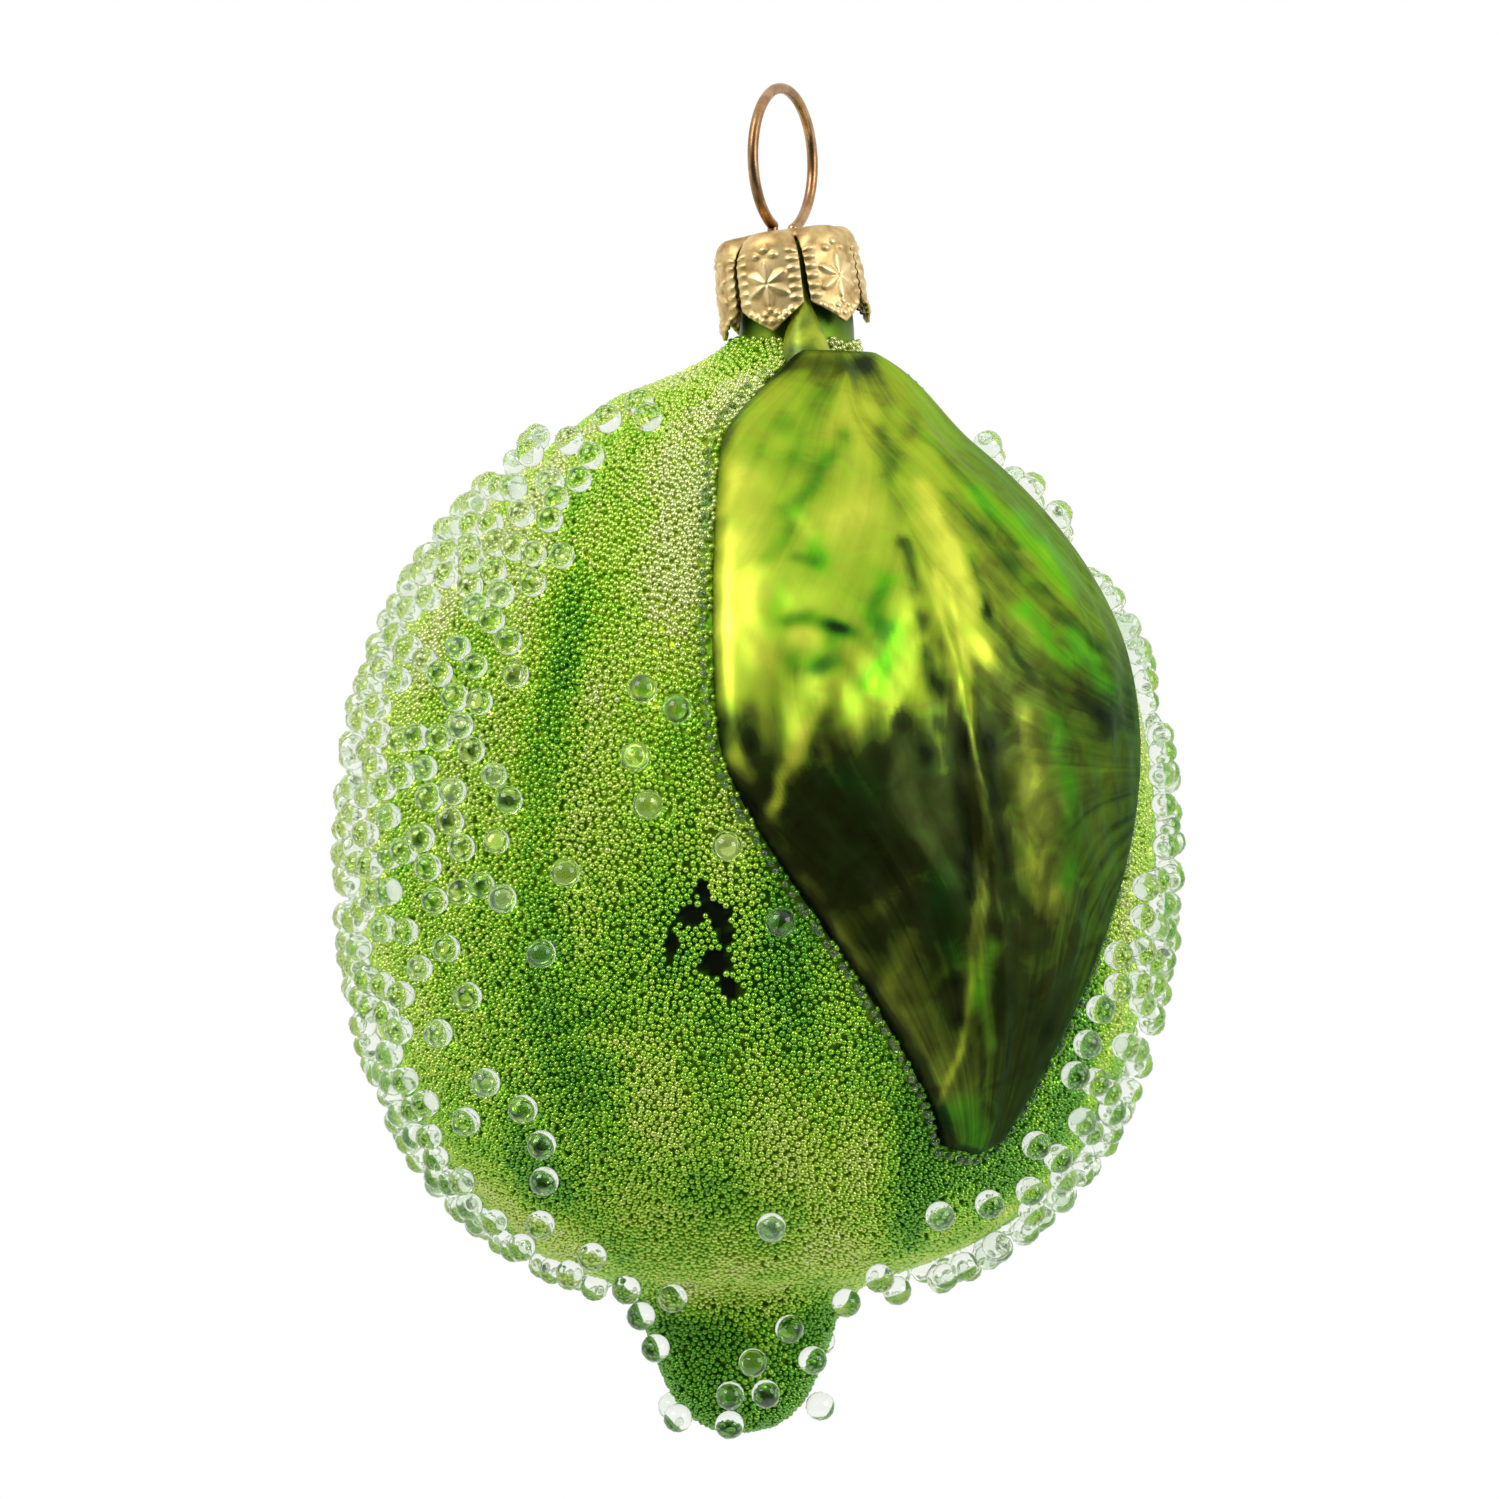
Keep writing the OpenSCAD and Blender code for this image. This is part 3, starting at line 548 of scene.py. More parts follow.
leaf_lacquer_and_painted_light, tree, shader = finish("leaf_lacquer_and_painted_light", Metallic=0.7, Roughness=0.36, Specular_IOR_Level=0.12,
                                    Specular_Tint=(0.35, 0.5, 0.2, 1))
veins = add(tree, "ShaderNodeUVMap", set_uv_map="along_the_veins")
clouds = add(tree, "ShaderNodeTexNoise", Vector=place_on(tree), Scale=420.0, Detail=4.0, Distortion=1.2)
marbled = math_node(tree, "ADD", math_node(tree, "MULTIPLY", streaks_on(tree, veins, 4.6, 1.8, 0.35), 0.6),
                    math_node(tree, "MULTIPLY", clouds, 0.4))
tone = stirred(tree, "leaf_tone", marbled, 0.60)
yellow = ramp_of(tree, tone, (
    (0.08, (0.006, 0.008, 0.003)), (0.30, (0.030, 0.036, 0.007)), (0.46, (0.12, 0.15, 0.018)),
    (0.64, (0.36, 0.44, 0.032)), (0.90, (0.68, 0.74, 0.07))))
green = ramp_of(tree, tone, (
    (0.08, (0.003, 0.011, 0.003)), (0.30, (0.014, 0.052, 0.007)), (0.46, (0.05, 0.19, 0.010)),
    (0.64, (0.12, 0.42, 0.010)), (0.90, (0.32, 0.66, 0.02))))
hue = stirred(tree, "leaf_hue", clouds, 1.1)
give(tree, shader, Base_Color=mixed(tree, hue, yellow, green, set_clamp_factor=True))
leaf.data.materials.append(leaf_lacquer_and_painted_light)

# Middle line of the stem and its radius, from inside the leaf's top up into the slit of the cap
stem_line = pull([(1.9, -5.6, -15.8, 2.0), (1.5, -4.9, -13.9, 1.8), (1.45, -4.5, -12.3, 1.6),
                  (1.4, -4.2, -11.0, 0.7), (1.37, -4.0, -9.9, 0.3), (1.32, -3.9, -9.0, 0.2)],
                 np.linspace(0, 1, 30))
around = np.linspace(0, 2 * math.pi, 33)[:-1]
stem = skin("leaf_stem", [circle(x, y, r, z, around) for x, y, z, r in stem_line],
            stem_line[0, :3], stem_line[-1, :3] + (0, 0, 0.2))
stem_lacquer_and_painted_shade, tree, shader = finish("stem_lacquer_and_painted_shade", Metallic=0.5, Roughness=0.36)
# Painted shade: the stem darkens towards its foot, where it meets the leaf
height = height_on(tree, From_Min=-0.0152, From_Max=-0.0128, To_Min=-0.22, To_Max=0.0)
tone = math_node(tree, "ADD", streaks_on(tree, place_on(tree), 420.0, 160.0, 0.5), height)
give(tree, shader, Base_Color=ramp_of(tree, tone, (
    (0.28, (0.03, 0.05, 0.008)), (0.44, (0.13, 0.20, 0.008)),
    (0.56, (0.32, 0.40, 0.012)), (0.70, (0.58, 0.64, 0.03)))))
stem.data.materials.append(stem_lacquer_and_painted_shade)
for piece in (leaf, stem):
    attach(piece, "bauble")
    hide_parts("leaf")

# Fine beads: a glued single layer of small clear beads over the whole bulb except leaf and neck, each sunk a
# little into the green lacquer. A row of them follows the leaf's edge. Some have come off beside the leaf.
fine_r, fine_pitch, fine_seat, fine_stray = 0.262, 0.46, 0.90, 0.30
smallest_share, largest_share = 0.84, 1.12
edge_row_r, edge_row_gap, edge_row_lift, edge_row_pitch = 0.32, 0.42, 0.22, 0.78
edge_row_start, edge_row_stray, edge_row_room = 3.2, 0.18, 0.8
neck_bare_r, neck_bare_z = 4.6, -12.8
bead_island = (-5.2, -52.7, 0.46, 0.72)
bead_tints = 8
lattice = np.array(bulb_rings(360, 200)[0])
girth = np.linalg.norm(np.roll(lattice, -1, axis=1) - lattice, axis=2).sum(1)
rise = np.linalg.norm(np.diff(lattice, axis=0), axis=2).mean(1)
area = np.concatenate(((0,), np.cumsum(rise * (girth[1:] + girth[:-1]) / 2)))
# One bead after the other on a spiral that gives each the same area, as close as in a honeycomb
bead_count = int(area[-1] / (math.sqrt(3) / 2 * fine_pitch ** 2))
order = np.arange(bead_count) + 0.5
level = np.interp(order / bead_count * area[-1], area, np.arange(len(lattice)))
turn = order * (math.sqrt(5) - 1) / 2 % 1 * lattice.shape[1]
i, j = np.clip(level.astype(int), 0, len(lattice) - 2), turn.astype(int)
k = (j + 1) % lattice.shape[1]
s, t = (level - i)[:, None], (turn - j)[:, None]
west = (1 - s) * lattice[i, j] + s * lattice[i + 1, j]
east = (1 - s) * lattice[i, k] + s * lattice[i + 1, k]
upward = (1 - t) * (lattice[i + 1, j] - lattice[i, j]) + t * (lattice[i + 1, k] - lattice[i, k])
outward = np.cross(east - west, upward)
outward /= np.linalg.norm(outward, axis=1)[:, None]
stray = np.random.default_rng(11).normal(0, fine_stray * fine_pitch, outward.shape)
spot = (1 - t) * west + t * east + stray - (stray * outward).sum(1)[:, None] * outward


def jostled(spot, outward, pitch, rounds=6, firmness=0.3):
    """Beads pushed apart along the bulb until hardly any two overlap."""
    tree = kdtree.KDTree(len(spot))
    for i, place in enumerate(spot):
        tree.insert(place, i)
    tree.balance()
    near = np.array([[found[1] for found in tree.find_n(place, 7)][1:] for place in spot])
    for _ in range(rounds):
        apart = spot[:, None, :] - spot[near]
        gap = np.maximum(np.linalg.norm(apart, axis=2), 0.02)
        push = (apart / gap[:, :, None] * np.maximum(pitch - gap, 0)[:, :, None]).sum(1) * firmness
        spot = spot + push - (push * outward).sum(1)[:, None] * outward
    return spot


spot = jostled(spot, outward, fine_pitch)
z = spot[:, 2] - body_z
p = (spot[:, 0] - leaf_axis(z)) * math.cos(leaf_az) + spot[:, 1] * math.sin(leaf_az)
leaf_side = (spot[:, 0] - leaf_axis(z)) * math.sin(leaf_az) - spot[:, 1] * math.cos(leaf_az) > 0
covered = (p > left_at(z)) & (p < right_at(z)) & (z < leaf_top_h) & (z > -leaf_low_h)
near_neck = (np.hypot(spot[:, 0] - neck_x, spot[:, 1]) < neck_bare_r) & (spot[:, 2] > neck_bare_z)
bald = np.min([spread(spot, m) for m in bald_spots], axis=0) < 1
bald &= (spread(spot, bead_island) > 1) & (spot[:, 1] < 0)
run = np.concatenate(((0,), np.cumsum(np.hypot(*np.diff(leaf_ring, axis=0).T))))
reach = np.arange(edge_row_start, run[-1] - edge_row_start, edge_row_pitch)
reach += np.random.default_rng(5).normal(0, edge_row_stray * edge_row_pitch, len(reach))


def along_edge(reach):
    """Points at distances along the leaf's edge."""
    return np.column_stack([np.interp(reach, run, leaf_ring[:, c]) for c in (0, 1)])


ahead = along_edge(reach + 0.3) - along_edge(reach - 0.3)
edge = along_edge(reach)
edge += edge_row_gap * np.column_stack((ahead[:, 1], -ahead[:, 0])) / np.hypot(*ahead.T)[:, None]
edge_spot = on_body(edge[:, 0], edge[:, 1], np.full(len(edge), edge_row_lift))
edge_out = on_body(edge[:, 0], edge[:, 1], np.ones(len(edge))) - edge_spot
crowded = np.min([((spot - e) ** 2).sum(1) for e in edge_spot], axis=0) < (edge_row_room * fine_pitch) ** 2
stays = ~((leaf_side & covered) | near_neck | bald | crowded)
spot, outward = spot[stays], outward[stays]

# One bead has two rings of six points between its poles, and stands on its seat
around = np.arange(6) / 6 * 2 * math.pi
small_bead = skin("small_bead", [circle(0, 0, np.sin(a), np.cos(a) + fine_seat, around)
                                 for a in np.radians((120, 58))], (0, 0, fine_seat - 1), (0, 0, fine_seat + 1))


def bead_finish(name, colour, clear, roughness, mirror=0.0):
    """Glass that is clear to a share, with its colour and what it mirrors of the silvering below."""
    return finish(name, Base_Color=(*colour, 1), Metallic=mirror, Transmission_Weight=clear,
                  Roughness=roughness, IOR=1.5)[0]


def fine_bead_tree():
    """Sets one bead on each point of a host, square to the bulb and of its own size."""
    tree, source, result = node_group("fine_bead_layer", "GeometryNodeTree", {
        "Seats": "Geometry", "Bead": "Object", "Smallest": "Float", "Largest": "Float", "Seed": "Int",
        "Glass": "Material"}, {"Beads": "Geometry"})
    bead = add(tree, "GeometryNodeObjectInfo", As_Instance=True, Object=source["Bead"])
    outward = add(tree, "GeometryNodeInputNamedAttribute", set_data_type="FLOAT_VECTOR", Name="outward")
    square = add(tree, "FunctionNodeAlignRotationToVector", set_axis="Z", Vector=outward)
    spin = add(tree, "FunctionNodeRandomValue", set_data_type="FLOAT_VECTOR", Max=(0, 0, math.pi),
               Seed=source["Seed"])
    turned = add(tree, "FunctionNodeRotateRotation", set_rotation_space="LOCAL", Rotation=square,
                 Rotate_By=spin)
    size = add(tree, "FunctionNodeRandomValue", set_data_type="FLOAT", Min=source["Smallest"],
               Max=source["Largest"], Seed=source["Seed"])
    place = add(tree, "GeometryNodeInstanceOnPoints", Points=source["Seats"], Instance=bead.outputs["Geometry"],
                Rotation=turned, Scale=size)
    real = add(tree, "GeometryNodeRealizeInstances", Geometry=place)
    feed(tree, result["Beads"], add(tree, "GeometryNodeSetMaterial", Geometry=real, Material=source["Glass"]))
    return tree


def settled(piece):
    """Plain mesh of a piece with what its modifiers do to it."""
    return bpy.data.meshes.new_from_object(piece.evaluated_get(bpy.context.evaluated_depsgraph_get()))


def grown_from(name, host, tree, values):
    """Plain mesh that a geometry tree makes on a host, with the values of the tree's inputs by name."""
    modifier = host.modifiers.new(name, "NODES")
    modifier.node_group = tree
    for item in tree.interface.items_tree:
        if item.in_out == "INPUT" and item.name in values:
            modifier[item.identifier] = values[item.name]
    mesh = settled(host)
    mesh.name = name
    for layer in [a.name for a in mesh.attributes if a.name in ("outward", "milk")]:
        mesh.attributes.remove(mesh.attributes[layer])
    bpy.data.objects.remove(host)
    return put(name, mesh)


# The lacquer that soaked between the beads tints them, and a painted reflection of the white surround makes them
# lighter at the top and on the flanks; they are also darker towards the nipple and low on the face, and are
# sorted from the darkest to the lightest
top_painted_sheen, left_painted_sheen, right_painted_sheen, nipple_darker, low_face_darker = 0.23, 0.14, 0.04, 0.32, 0.04
top_z, top_run, flank_start, flank_run = -44, 24, 15, 8
nipple_top_z, nipple_run = -77.6, 4.5
low_face_top_z, low_face_foot_z, low_face_run, low_face_y = -46, -68, 6, -12
bead_tone = np.array([0.30 * noise.noise(Vector((x * 0.23, y * 0.23, z * 0.05)))
                      + 0.24 * noise.noise(Vector((x * 0.08, y * 0.08, z * 0.02))) for x, y, z in spot])
bead_tone += brushed(spot)
bead_tone += (np.random.default_rng(12).normal(0, 0.05, len(spot))
              + top_painted_sheen * eased((spot[:, 2] - top_z) / top_run))
bead_tone += (left_painted_sheen * eased((body_x - flank_start - spot[:, 0]) / flank_run)
              + right_painted_sheen * eased((spot[:, 0] - body_x - flank_start) / flank_run))
bead_tone -= nipple_darker * eased((nipple_top_z - spot[:, 2]) / nipple_run)
bead_tone -= (low_face_darker * eased((low_face_top_z - spot[:, 2]) / low_face_run)
              * eased((spot[:, 2] - low_face_foot_z) / low_face_run) * (spot[:, 1] < low_face_y))
tone_stops = (-0.30, -0.12, 0.0, 0.12, 0.30, 0.46)
tone_colours = np.array(((0.10, 0.44, 0.010), (0.26, 0.68, 0.020), (0.47, 0.88, 0.04),
                         (0.70, 0.98, 0.10), (0.86, 1.0, 0.28), (0.97, 1.0, 0.66)))
layers = []
for n, s in enumerate(np.array_split(np.argsort(bead_tone), bead_tints), 1):
    colour = [np.interp(bead_tone[s].mean(), tone_stops, tone_colours[:, c]) for c in range(3)]
    layers.append(("fine_beads_%d" % n, spot[s], outward[s], fine_r,
                   bead_finish("fine_bead_glass_%d" % n, colour, 0.65, 0.08, 0.32)))
layers.append(("leaf_edge_beads", edge_spot, edge_out, edge_row_r,
               bead_finish("clean_bead_glass", (0.88, 1.0, 0.74), 0.97, 0.04)))
layer_tree = fine_bead_tree()
for number, (name, seats, normals, radius, glass) in enumerate(layers):
    host = mesh_object("bead_seats", seats, [])
    facing = host.data.attributes.new("outward", "FLOAT_VECTOR", "POINT")
    facing.data.foreach_set("vector", normals.astype(np.float32).ravel())
    beads = grown_from(name, host, layer_tree, {
        "Bead": small_bead, "Smallest": smallest_share * radius, "Largest": largest_share * radius,
        "Seed": number, "Glass": glass})
    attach(beads, "bauble")
    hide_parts("fine_bead_coat")
bpy.data.objects.remove(small_bead)

# Large beads: single round glass beads that are glued on top of the fine ones.
# They lie thick on the flanks and the back and thin out towards the face. A ring of them hangs on the nipple.
milky_share = 0.25
bead_glass = bead_finish("bead_glass", (0.92, 0.96, 0.89), 1.0, 0.03)
milky_glass = bead_finish("milky_bead_glass", (0.89, 0.96, 0.86), 0.96, 0.07)


def overlay(tree, share, second):
    """Puts a second shader over a material's own one, to a share."""
    mix = add(tree, "ShaderNodeMixShader", Fac=share)
    feed(tree, mix.inputs[1], tree.nodes["Principled BSDF"])
    feed(tree, mix.inputs[2], second)
    give(tree, tree.nodes["Material Output"], Surface=mix)


for glass in (bead_glass, milky_glass):
    # A clear bead passes the lamps' light on to the fine beads below it, where a solid one would shade them
    tree = glass.node_tree
    overlay(tree, tree.nodes.new("ShaderNodeLightPath").outputs["Is Shadow Ray"],
            add(tree, "ShaderNodeBsdfTransparent", Color=(0.95, 0.98, 0.90, 1)))


def large_bead_tree():
    """Puts one round bead on the middle of each separate solid of a node."""
    tree, source, result = node_group("large_beads", "GeometryNodeTree", {
        "Host": "Geometry", "Solids": "Object", "Milky share": "Float", "Glass": "Material",
        "Milky glass": "Material"}, {"Beads": "Geometry"})
    solids = add(tree, "GeometryNodeObjectInfo", Object=source["Solids"])
    joined = add(tree, "GeometryNodeMergeByDistance", Distance=1e-6, Geometry=solids.outputs["Geometry"])
    island = tree.nodes.new("GeometryNodeInputMeshIsland").outputs["Island Index"]
    position = tree.nodes.new("GeometryNodeInputPosition")

    def summed(kind, value):
        return add(tree, "GeometryNodeAccumulateField", set_data_type=kind, Value=value,
                   Group_ID=island).outputs

    count = summed("FLOAT", 1.0)
    middle = add(tree, "ShaderNodeVectorMath", set_operation="DIVIDE")
    gap = add(tree, "ShaderNodeVectorMath", set_operation="DISTANCE")
    for node, values in ((middle, (summed("FLOAT_VECTOR", position)["Total"], count["Total"])),
                         (gap, (position, middle))):
        for socket, value in zip(node.inputs, values):
            feed(tree, socket, value)
    radius = math_node(tree, "DIVIDE", summed("FLOAT", gap)["Total"], count["Total"])
    first = math_node(tree, "LESS_THAN", count["Trailing"], 0.5)
    seats = add(tree, "GeometryNodeMeshToPoints", Mesh=joined, Selection=first, Position=middle, Radius=radius)
    bead = add(tree, "GeometryNodeMeshUVSphere", Segments=12, Rings=7, Radius=1.0)
    smooth = add(tree, "GeometryNodeSetShadeSmooth", Geometry=bead)
    turn = add(tree, "FunctionNodeRandomValue", set_data_type="FLOAT_VECTOR", Max=(math.pi,) * 3)
    place = add(tree, "GeometryNodeInstanceOnPoints", Points=seats, Instance=smooth, Rotation=turn,
                Scale=tree.nodes.new("GeometryNodeInputRadius"))
    clear = add(tree, "GeometryNodeSetMaterial", Geometry=place, Material=source["Glass"])
    draw = add(tree, "FunctionNodeRandomValue", set_data_type="FLOAT", Seed=5)
    store = add(tree, "GeometryNodeStoreNamedAttribute", set_data_type="FLOAT", set_domain="INSTANCE",
                Name="milk", Geometry=clear, Value=draw)
    real = add(tree, "GeometryNodeRealizeInstances", Geometry=store)
    milk = add(tree, "GeometryNodeInputNamedAttribute", set_data_type="FLOAT", Name="milk")
    is_milky = math_node(tree, "LESS_THAN", milk, source["Milky share"])
    feed(tree, result["Beads"], add(tree, "GeometryNodeSetMaterial", Geometry=real, Selection=is_milky,
                                    Material=source["Milky glass"]))
    return tree


bead_tree = large_bead_tree()
for group in ("left_flank", "right_flank", "back", "face", "nipple"):
    beads = grown_from(group + "_round_beads", mesh_object("bead_host", [], []), bead_tree, {
        "Solids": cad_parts[group + "_beads"], "Milky share": milky_share, "Glass": bead_glass,
        "Milky glass": milky_glass})
    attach(beads, "bauble")
    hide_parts(group + "_beads")

# Cap: a crown of thin antique-gold sheet with six bulging petals, stamped with a star in a beaded border.
# It is pressed over the rim of the neck and sits a little askew. Two holes in its top let the wire through.
cap_r, cap_h, cap_round, cap_flare, cap_sheet = 4.9, 7.0, 1.2, 0.25, 0.25
petals, petal_point, slit_az = 6, 1.7, 11
slit_start, slit_top_half, slit_low_half = -0.10, 0.10, 0.26
cap_foot, cap_skew = Vector((0.974, 0, -12.034)), math.radians(-8)
loop_turn, leg_offset, leg_z, wire_hole_r = math.radians(65), 1.7, -5.1, 0.6
stamp_h, petal_bulge, notch_in, notch_down = 0.17, 0.16, 0.45, 0.50
star_y, star_rays, ray_l, bar_pitch = -3.75, 6, 1.75, 0.68
notch_depth, notch_run, bulge_low = 2.6, 2.4, 0.3
# The notches between the petals fade out over two rings: radius, height, share of the notch
top_rings = ((3.7, -0.02, 0.45), (3.1, 0.0, 0.0))
petal_columns, petal_rows = 66, 84


def cap_profile(z):
    """Radius of the cap at a depth below its top."""
    arc = cap_r - cap_round + np.sqrt(np.clip(cap_round ** 2 - (z + cap_round) ** 2, 0, None))
    wall = cap_r + cap_flare * (-z - cap_round) / (cap_h - cap_round)
    return np.where(z > -cap_round, arc, wall)


def stamped(x, y, half_w):
    """Height of the stamped star, border bars and dots at a place on a flattened petal, from 0 to 1."""
    low = -cap_h + petal_point
    # Middle and half sizes of each dot and bar
    dots = [(0, -1.35, 0.30, 0.20), (0, -5.55, 0.22, 0.2), (-0.42, -5.85, 0.22, 0.2), (0.42, -5.85, 0.22, 0.2),
            (0, -6.35, 0.24, 0.2)]
    for side in (-1, 1):
        dots += [(side * 0.66, -1.75, 0.28, 0.2)]
        dots += [(side * (half_w - 0.40), bar_y, 0.42, 0.22) for bar_y in np.arange(-1.5, low, -bar_pitch)]
        dots += [(side * (half_w - 0.45) * (1 - t), low - 0.16 - (petal_point - 0.5) * t, 0.25, 0.22)
                 for t in (0.18, 0.42, 0.66)]
    h = np.max([np.exp(-(((x - dx) / wx) ** 2 + ((y - dy) / wy) ** 2) ** 1.6) for dx, dy, wx, wy in dots],
               axis=0)
    for i in range(star_rays):
        a = math.radians(90 + 60 * i)
        along = x * math.cos(a) + (y - star_y) * math.sin(a)
        off = -x * math.sin(a) + (y - star_y) * math.cos(a)
        width = 0.06 + 0.24 * np.sin(np.clip(along / ray_l, 0, 1) * math.pi)
        h = np.maximum(h, np.exp(-(off / width) ** 2) * eased((ray_l - along) / 0.3) * eased(along / 0.15))
    return h


cap_points, cap_faces, cap_stamp, upper = [], [], [], []
across = np.linspace(-1, 1, petal_columns)
side_notch = np.abs(across) ** 3
for i in range(petals):
    middle = math.radians(slit_az + 180 / petals + i * 360 / petals)
    v = np.linspace(0, 1, petal_rows)[:, None] ** 1.2
    z = slit_start + (-cap_h + petal_point * np.abs(across)[None, :] ** 1.08 - slit_start) * v
    r = cap_profile(z)
    slit_depth = np.clip((slit_start - z) / (slit_start + cap_h - petal_point), 0, 1)
    slit = slit_top_half + (slit_low_half - slit_top_half) * slit_depth
    half_angle = math.pi / petals - np.arcsin(slit / r)
    stamp = stamped(across[None, :] * half_angle * cap_r, z, half_angle * cap_r) * eased((v - 0.03) / 0.06)
    near_top = eased((z + notch_depth) / notch_run)
    notch = side_notch[None, :] * near_top
    bulge = np.cos(across * math.pi / 2)[None, :] * (1 - 0.5 * near_top) - bulge_low
    r = r + stamp_h * stamp + petal_bulge * bulge - notch_in * notch
    turn = middle + across[None, :] * half_angle
    base = len(cap_points)
    cap_points += np.column_stack(((r * np.sin(turn)).ravel(), (-r * np.cos(turn)).ravel(),
                                   (z - notch_down * notch).ravel())).tolist()
    cap_stamp += stamp.ravel().tolist()
    for start in range(base, base + (petal_rows - 1) * petal_columns, petal_columns):
        cap_faces += [(k, k + petal_columns, k + petal_columns + 1, k + 1)
                      for k in range(start, start + petal_columns - 1)]
    upper += list(range(base, base + petal_columns))
turns = [math.atan2(cap_points[k][0], -cap_points[k][1]) for k in upper]
dips = np.tile(side_notch, petals)
rows = [upper]
for r, z, dip in top_rings:
    base = len(cap_points)
    cap_points += [((r - dip * notch_in * d) * math.sin(a), -(r - dip * notch_in * d) * math.cos(a),
                    z - dip * notch_down * d) for a, d in zip(turns, dips)]
    cap_stamp += [0.0] * len(turns)
    rows.append(list(range(base, base + len(turns))))
for low_row, high_row in zip(rows, rows[1:]):
    cap_faces += [(low_row[j - 1], low_row[j], high_row[j], high_row[j - 1]) for j in range(len(turns))]
cap = mesh_object("stamped_cap", np.array(cap_points), cap_faces)
keep(cap, "stamp_height", cap_stamp)
skew = Matrix.Rotation(cap_skew, 3, "Y")
sheet = bmesh.new()
sheet.from_mesh(cap.data)
sheet.verts.ensure_lookup_table()
ring_edges = [sheet.edges.get((sheet.verts[a], sheet.verts[b]))
              for a, b in zip(rows[-1], rows[-1][1:] + rows[-1][:1])]
for side in (-1, 1):
    leg = Vector((side * leg_offset * math.cos(loop_turn), side * leg_offset * math.sin(loop_turn), leg_z))
    hole = skew.inverted() @ (leg - cap_foot)
    rim = [sheet.verts.new(((hole.x + wire_hole_r * math.cos(a)) * MM,
                            (hole.y + wire_hole_r * math.sin(a)) * MM, 0.0))
           for a in np.linspace(0, 2 * math.pi, 25)[:-1]]
    ring_edges += [sheet.edges.new((a, b)) for a, b in zip(rim, rim[1:] + rim[:1])]
bmesh.ops.triangle_fill(sheet, use_beauty=True, use_dissolve=False, edges=ring_edges, normal=(0, 0, 1))
bmesh.ops.recalc_face_normals(sheet, faces=sheet.faces)
for f in sheet.faces:
    f.smooth = True
sheet.to_mesh(cap.data)
sheet.free()
wall = cap.modifiers.new("sheet", "SOLIDIFY")
wall.thickness = cap_sheet * MM
wall.offset = -1
solid = settled(cap)
cap.modifiers.remove(wall)
cap.data = solid
cap.data.transform(Matrix.Translation(cap_foot * MM) @ skew.to_4x4() @ Matrix.Translation((0, 0, cap_h * MM)))


def tarnish_group():
    """Shader group for handled metal: a fine brown film that is thicker in some places."""
    group, source, result = node_group("tarnish", "ShaderNodeTree", {
        "Vector": "Vector", "Scale": "Float", "Relief": "Float"}, {"Polish": "Float"})
    cloud = add(group, "ShaderNodeTexNoise", Vector=source["Vector"], Scale=source["Scale"], Detail=5.0,
                Roughness=0.6)
    raised = math_node(group, "MULTIPLY", source["Relief"], 0.22)
    feed(group, result["Polish"], math_node(group, "ADD", cloud, raised))
    return group


tarnish = tarnish_group()


def aged_metal(name, scale, tones, roughness, relief=None):
    """Metal whose film of tarnish shifts its colour and its gloss, and is rubbed off where it is raised."""
    made, tree, shader = finish(name, Metallic=1.0)
    film = add(tree, "ShaderNodeGroup", set_node_tree=tarnish, Vector=place_on(tree), Scale=scale)
    if relief:
        give(tree, film, Relief=painted(tree, relief))
    gloss = add(tree, "ShaderNodeMapRange", Value=film, From_Min=0.3, From_Max=0.8, To_Min=roughness[0],
                To_Max=roughness[1])
    give(tree, shader, Base_Color=ramp_of(tree, film, tones), Roughness=gloss)
    return made


cap.data.materials.append(aged_metal("antique_gold", 700.0, (
    (0.32, (0.34, 0.21, 0.07)), (0.50, (0.60, 0.43, 0.18)), (0.74, (0.84, 0.66, 0.34))), (0.56, 0.42),
    "stamp_height"))
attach(cap, "cap")
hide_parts("cap_crown")

# Hanger: one length of copper-coloured wire bent to a loop, with two legs that go through the cap.
# The legs spring apart in the neck and hold cap and bulb together.
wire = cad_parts["hanger_wire"]
wire.data.materials.clear()
wire.data.materials.append(aged_metal("copper_wire", 420.0, (
    (0.32, (0.20, 0.10, 0.045)), (0.5, (0.36, 0.20, 0.09)), (0.68, (0.54, 0.35, 0.19))), (0.34, 0.20)))

# Studio: a pale floor far below the hanging ornament, a white surround and two large soft lamps.
# The surround is darker towards the front, so that the glass and the metal have something to mirror.
floor_z, floor_half = -400, 400
floor = mesh_object("floor", [(x * floor_half, y * floor_half, floor_z)
                              for x, y in ((-1, -1), (1, -1), (1, 1), (-1, 1))], [(0, 1, 2, 3)])
pale, tree, shader = finish("pale_floor", Base_Color=(0.9, 0.9, 0.9, 1), Roughness=0.7)


def seen_directly(tree):
    """One for what the camera, a reflection or a view through glass shows, else nothing."""
    rays = tree.nodes.new("ShaderNodeLightPath").outputs
    seen = math_node(tree, "MAXIMUM", rays["Is Camera Ray"], rays["Is Glossy Ray"])
    return math_node(tree, "MAXIMUM", seen, rays["Is Transmission Ray"])


overlay(tree, math_node(tree, "MULTIPLY", seen_directly(tree), 0.8),
        add(tree, "ShaderNodeEmission", Color=(1, 1, 1, 1), Strength=1.0))
floor.data.materials.append(pale)

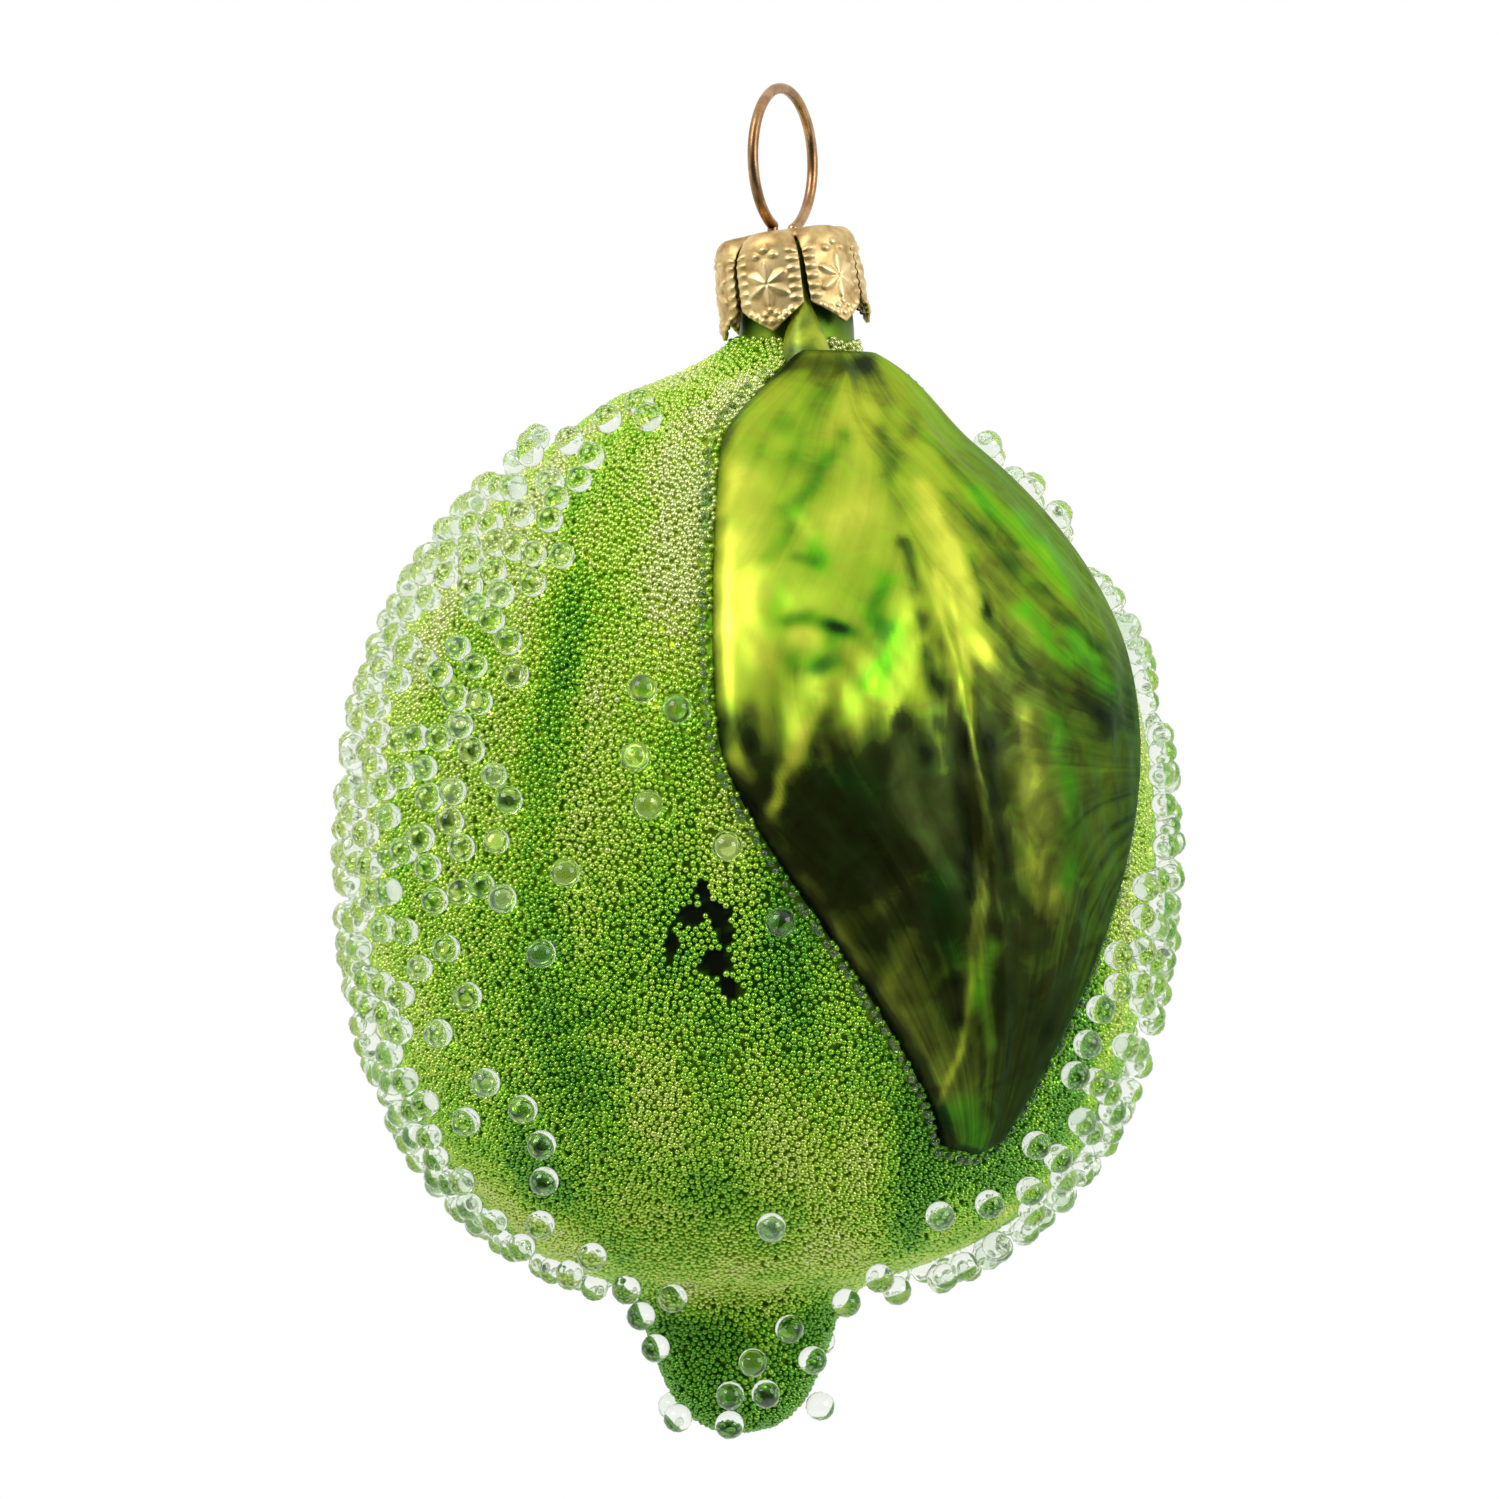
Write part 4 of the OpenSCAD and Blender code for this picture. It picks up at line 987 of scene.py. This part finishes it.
studio = bpy.data.worlds.new("studio")
bpy.context.scene.world = studio
studio.use_nodes = True
tree = studio.node_tree
way = tree.nodes.new("ShaderNodeTexCoord").outputs["Generated"]
axes = add(tree, "ShaderNodeSeparateXYZ", Vector=way).outputs
toward = math_node(tree, "ADD", math_node(tree, "MULTIPLY", axes["Y"], 0.8),
                   math_node(tree, "MULTIPLY", axes["Z"], 0.45))
room_tone = ramp_of(tree, math_node(tree, "ADD", math_node(tree, "MULTIPLY", toward, 0.5), 0.5), (
    (0.06, (0.05, 0.05, 0.05)), (0.17, (0.16, 0.16, 0.16)),
    (0.28, (0.50, 0.50, 0.50)), (0.46, (1.0, 1.0, 1.0))))
direct = tree.nodes.new("ShaderNodeLightPath").outputs["Is Camera Ray"]
give(tree, tree.nodes["Background"], Color=mixed(tree, direct, room_tone, (1, 1, 1, 1)),
     Strength=math_node(tree, "ADD", math_node(tree, "MULTIPLY", seen_directly(tree), 0.1), 0.9))

lamp_aim = Vector((0, 0, -0.045))
for name, place, size, power in (("key_lamp", (-0.42, -0.40, 0.42), 0.40, 3.2),
                                 ("fill_lamp", (0.50, -0.34, 0.14), 0.36, 1.8)):
    lamp = bpy.data.lights.new(name, "AREA")
    lamp.shape, lamp.size, lamp.energy = "SQUARE", size, power
    stand = put(name, lamp)
    stand.location = place
    stand.rotation_euler = (lamp_aim - Vector(place)).to_track_quat("-Z", "Y").to_euler()

# Camera: level with the middle of the frame and square to the face, 450 mm away, for a frame of 1499 by 1499.
# Its lens gives the frame its width at the ornament's middle.
eye_away, eye_x, eye_z, frame_w = 450.0, -2.345, -41.265, 104.93
eye = bpy.data.cameras.new("camera")
eye.sensor_width = 36.0
eye.sensor_fit = "HORIZONTAL"
eye.lens = eye.sensor_width * eye_away / frame_w
eye.clip_start, eye.clip_end = 0.01, 20
camera = put("camera", eye)
camera.location = (eye_x * MM, -eye_away * MM, eye_z * MM)
camera.rotation_euler = (math.pi / 2, 0, 0)
bpy.context.scene.camera = camera
bpy.context.scene.view_settings.view_transform = "Standard"
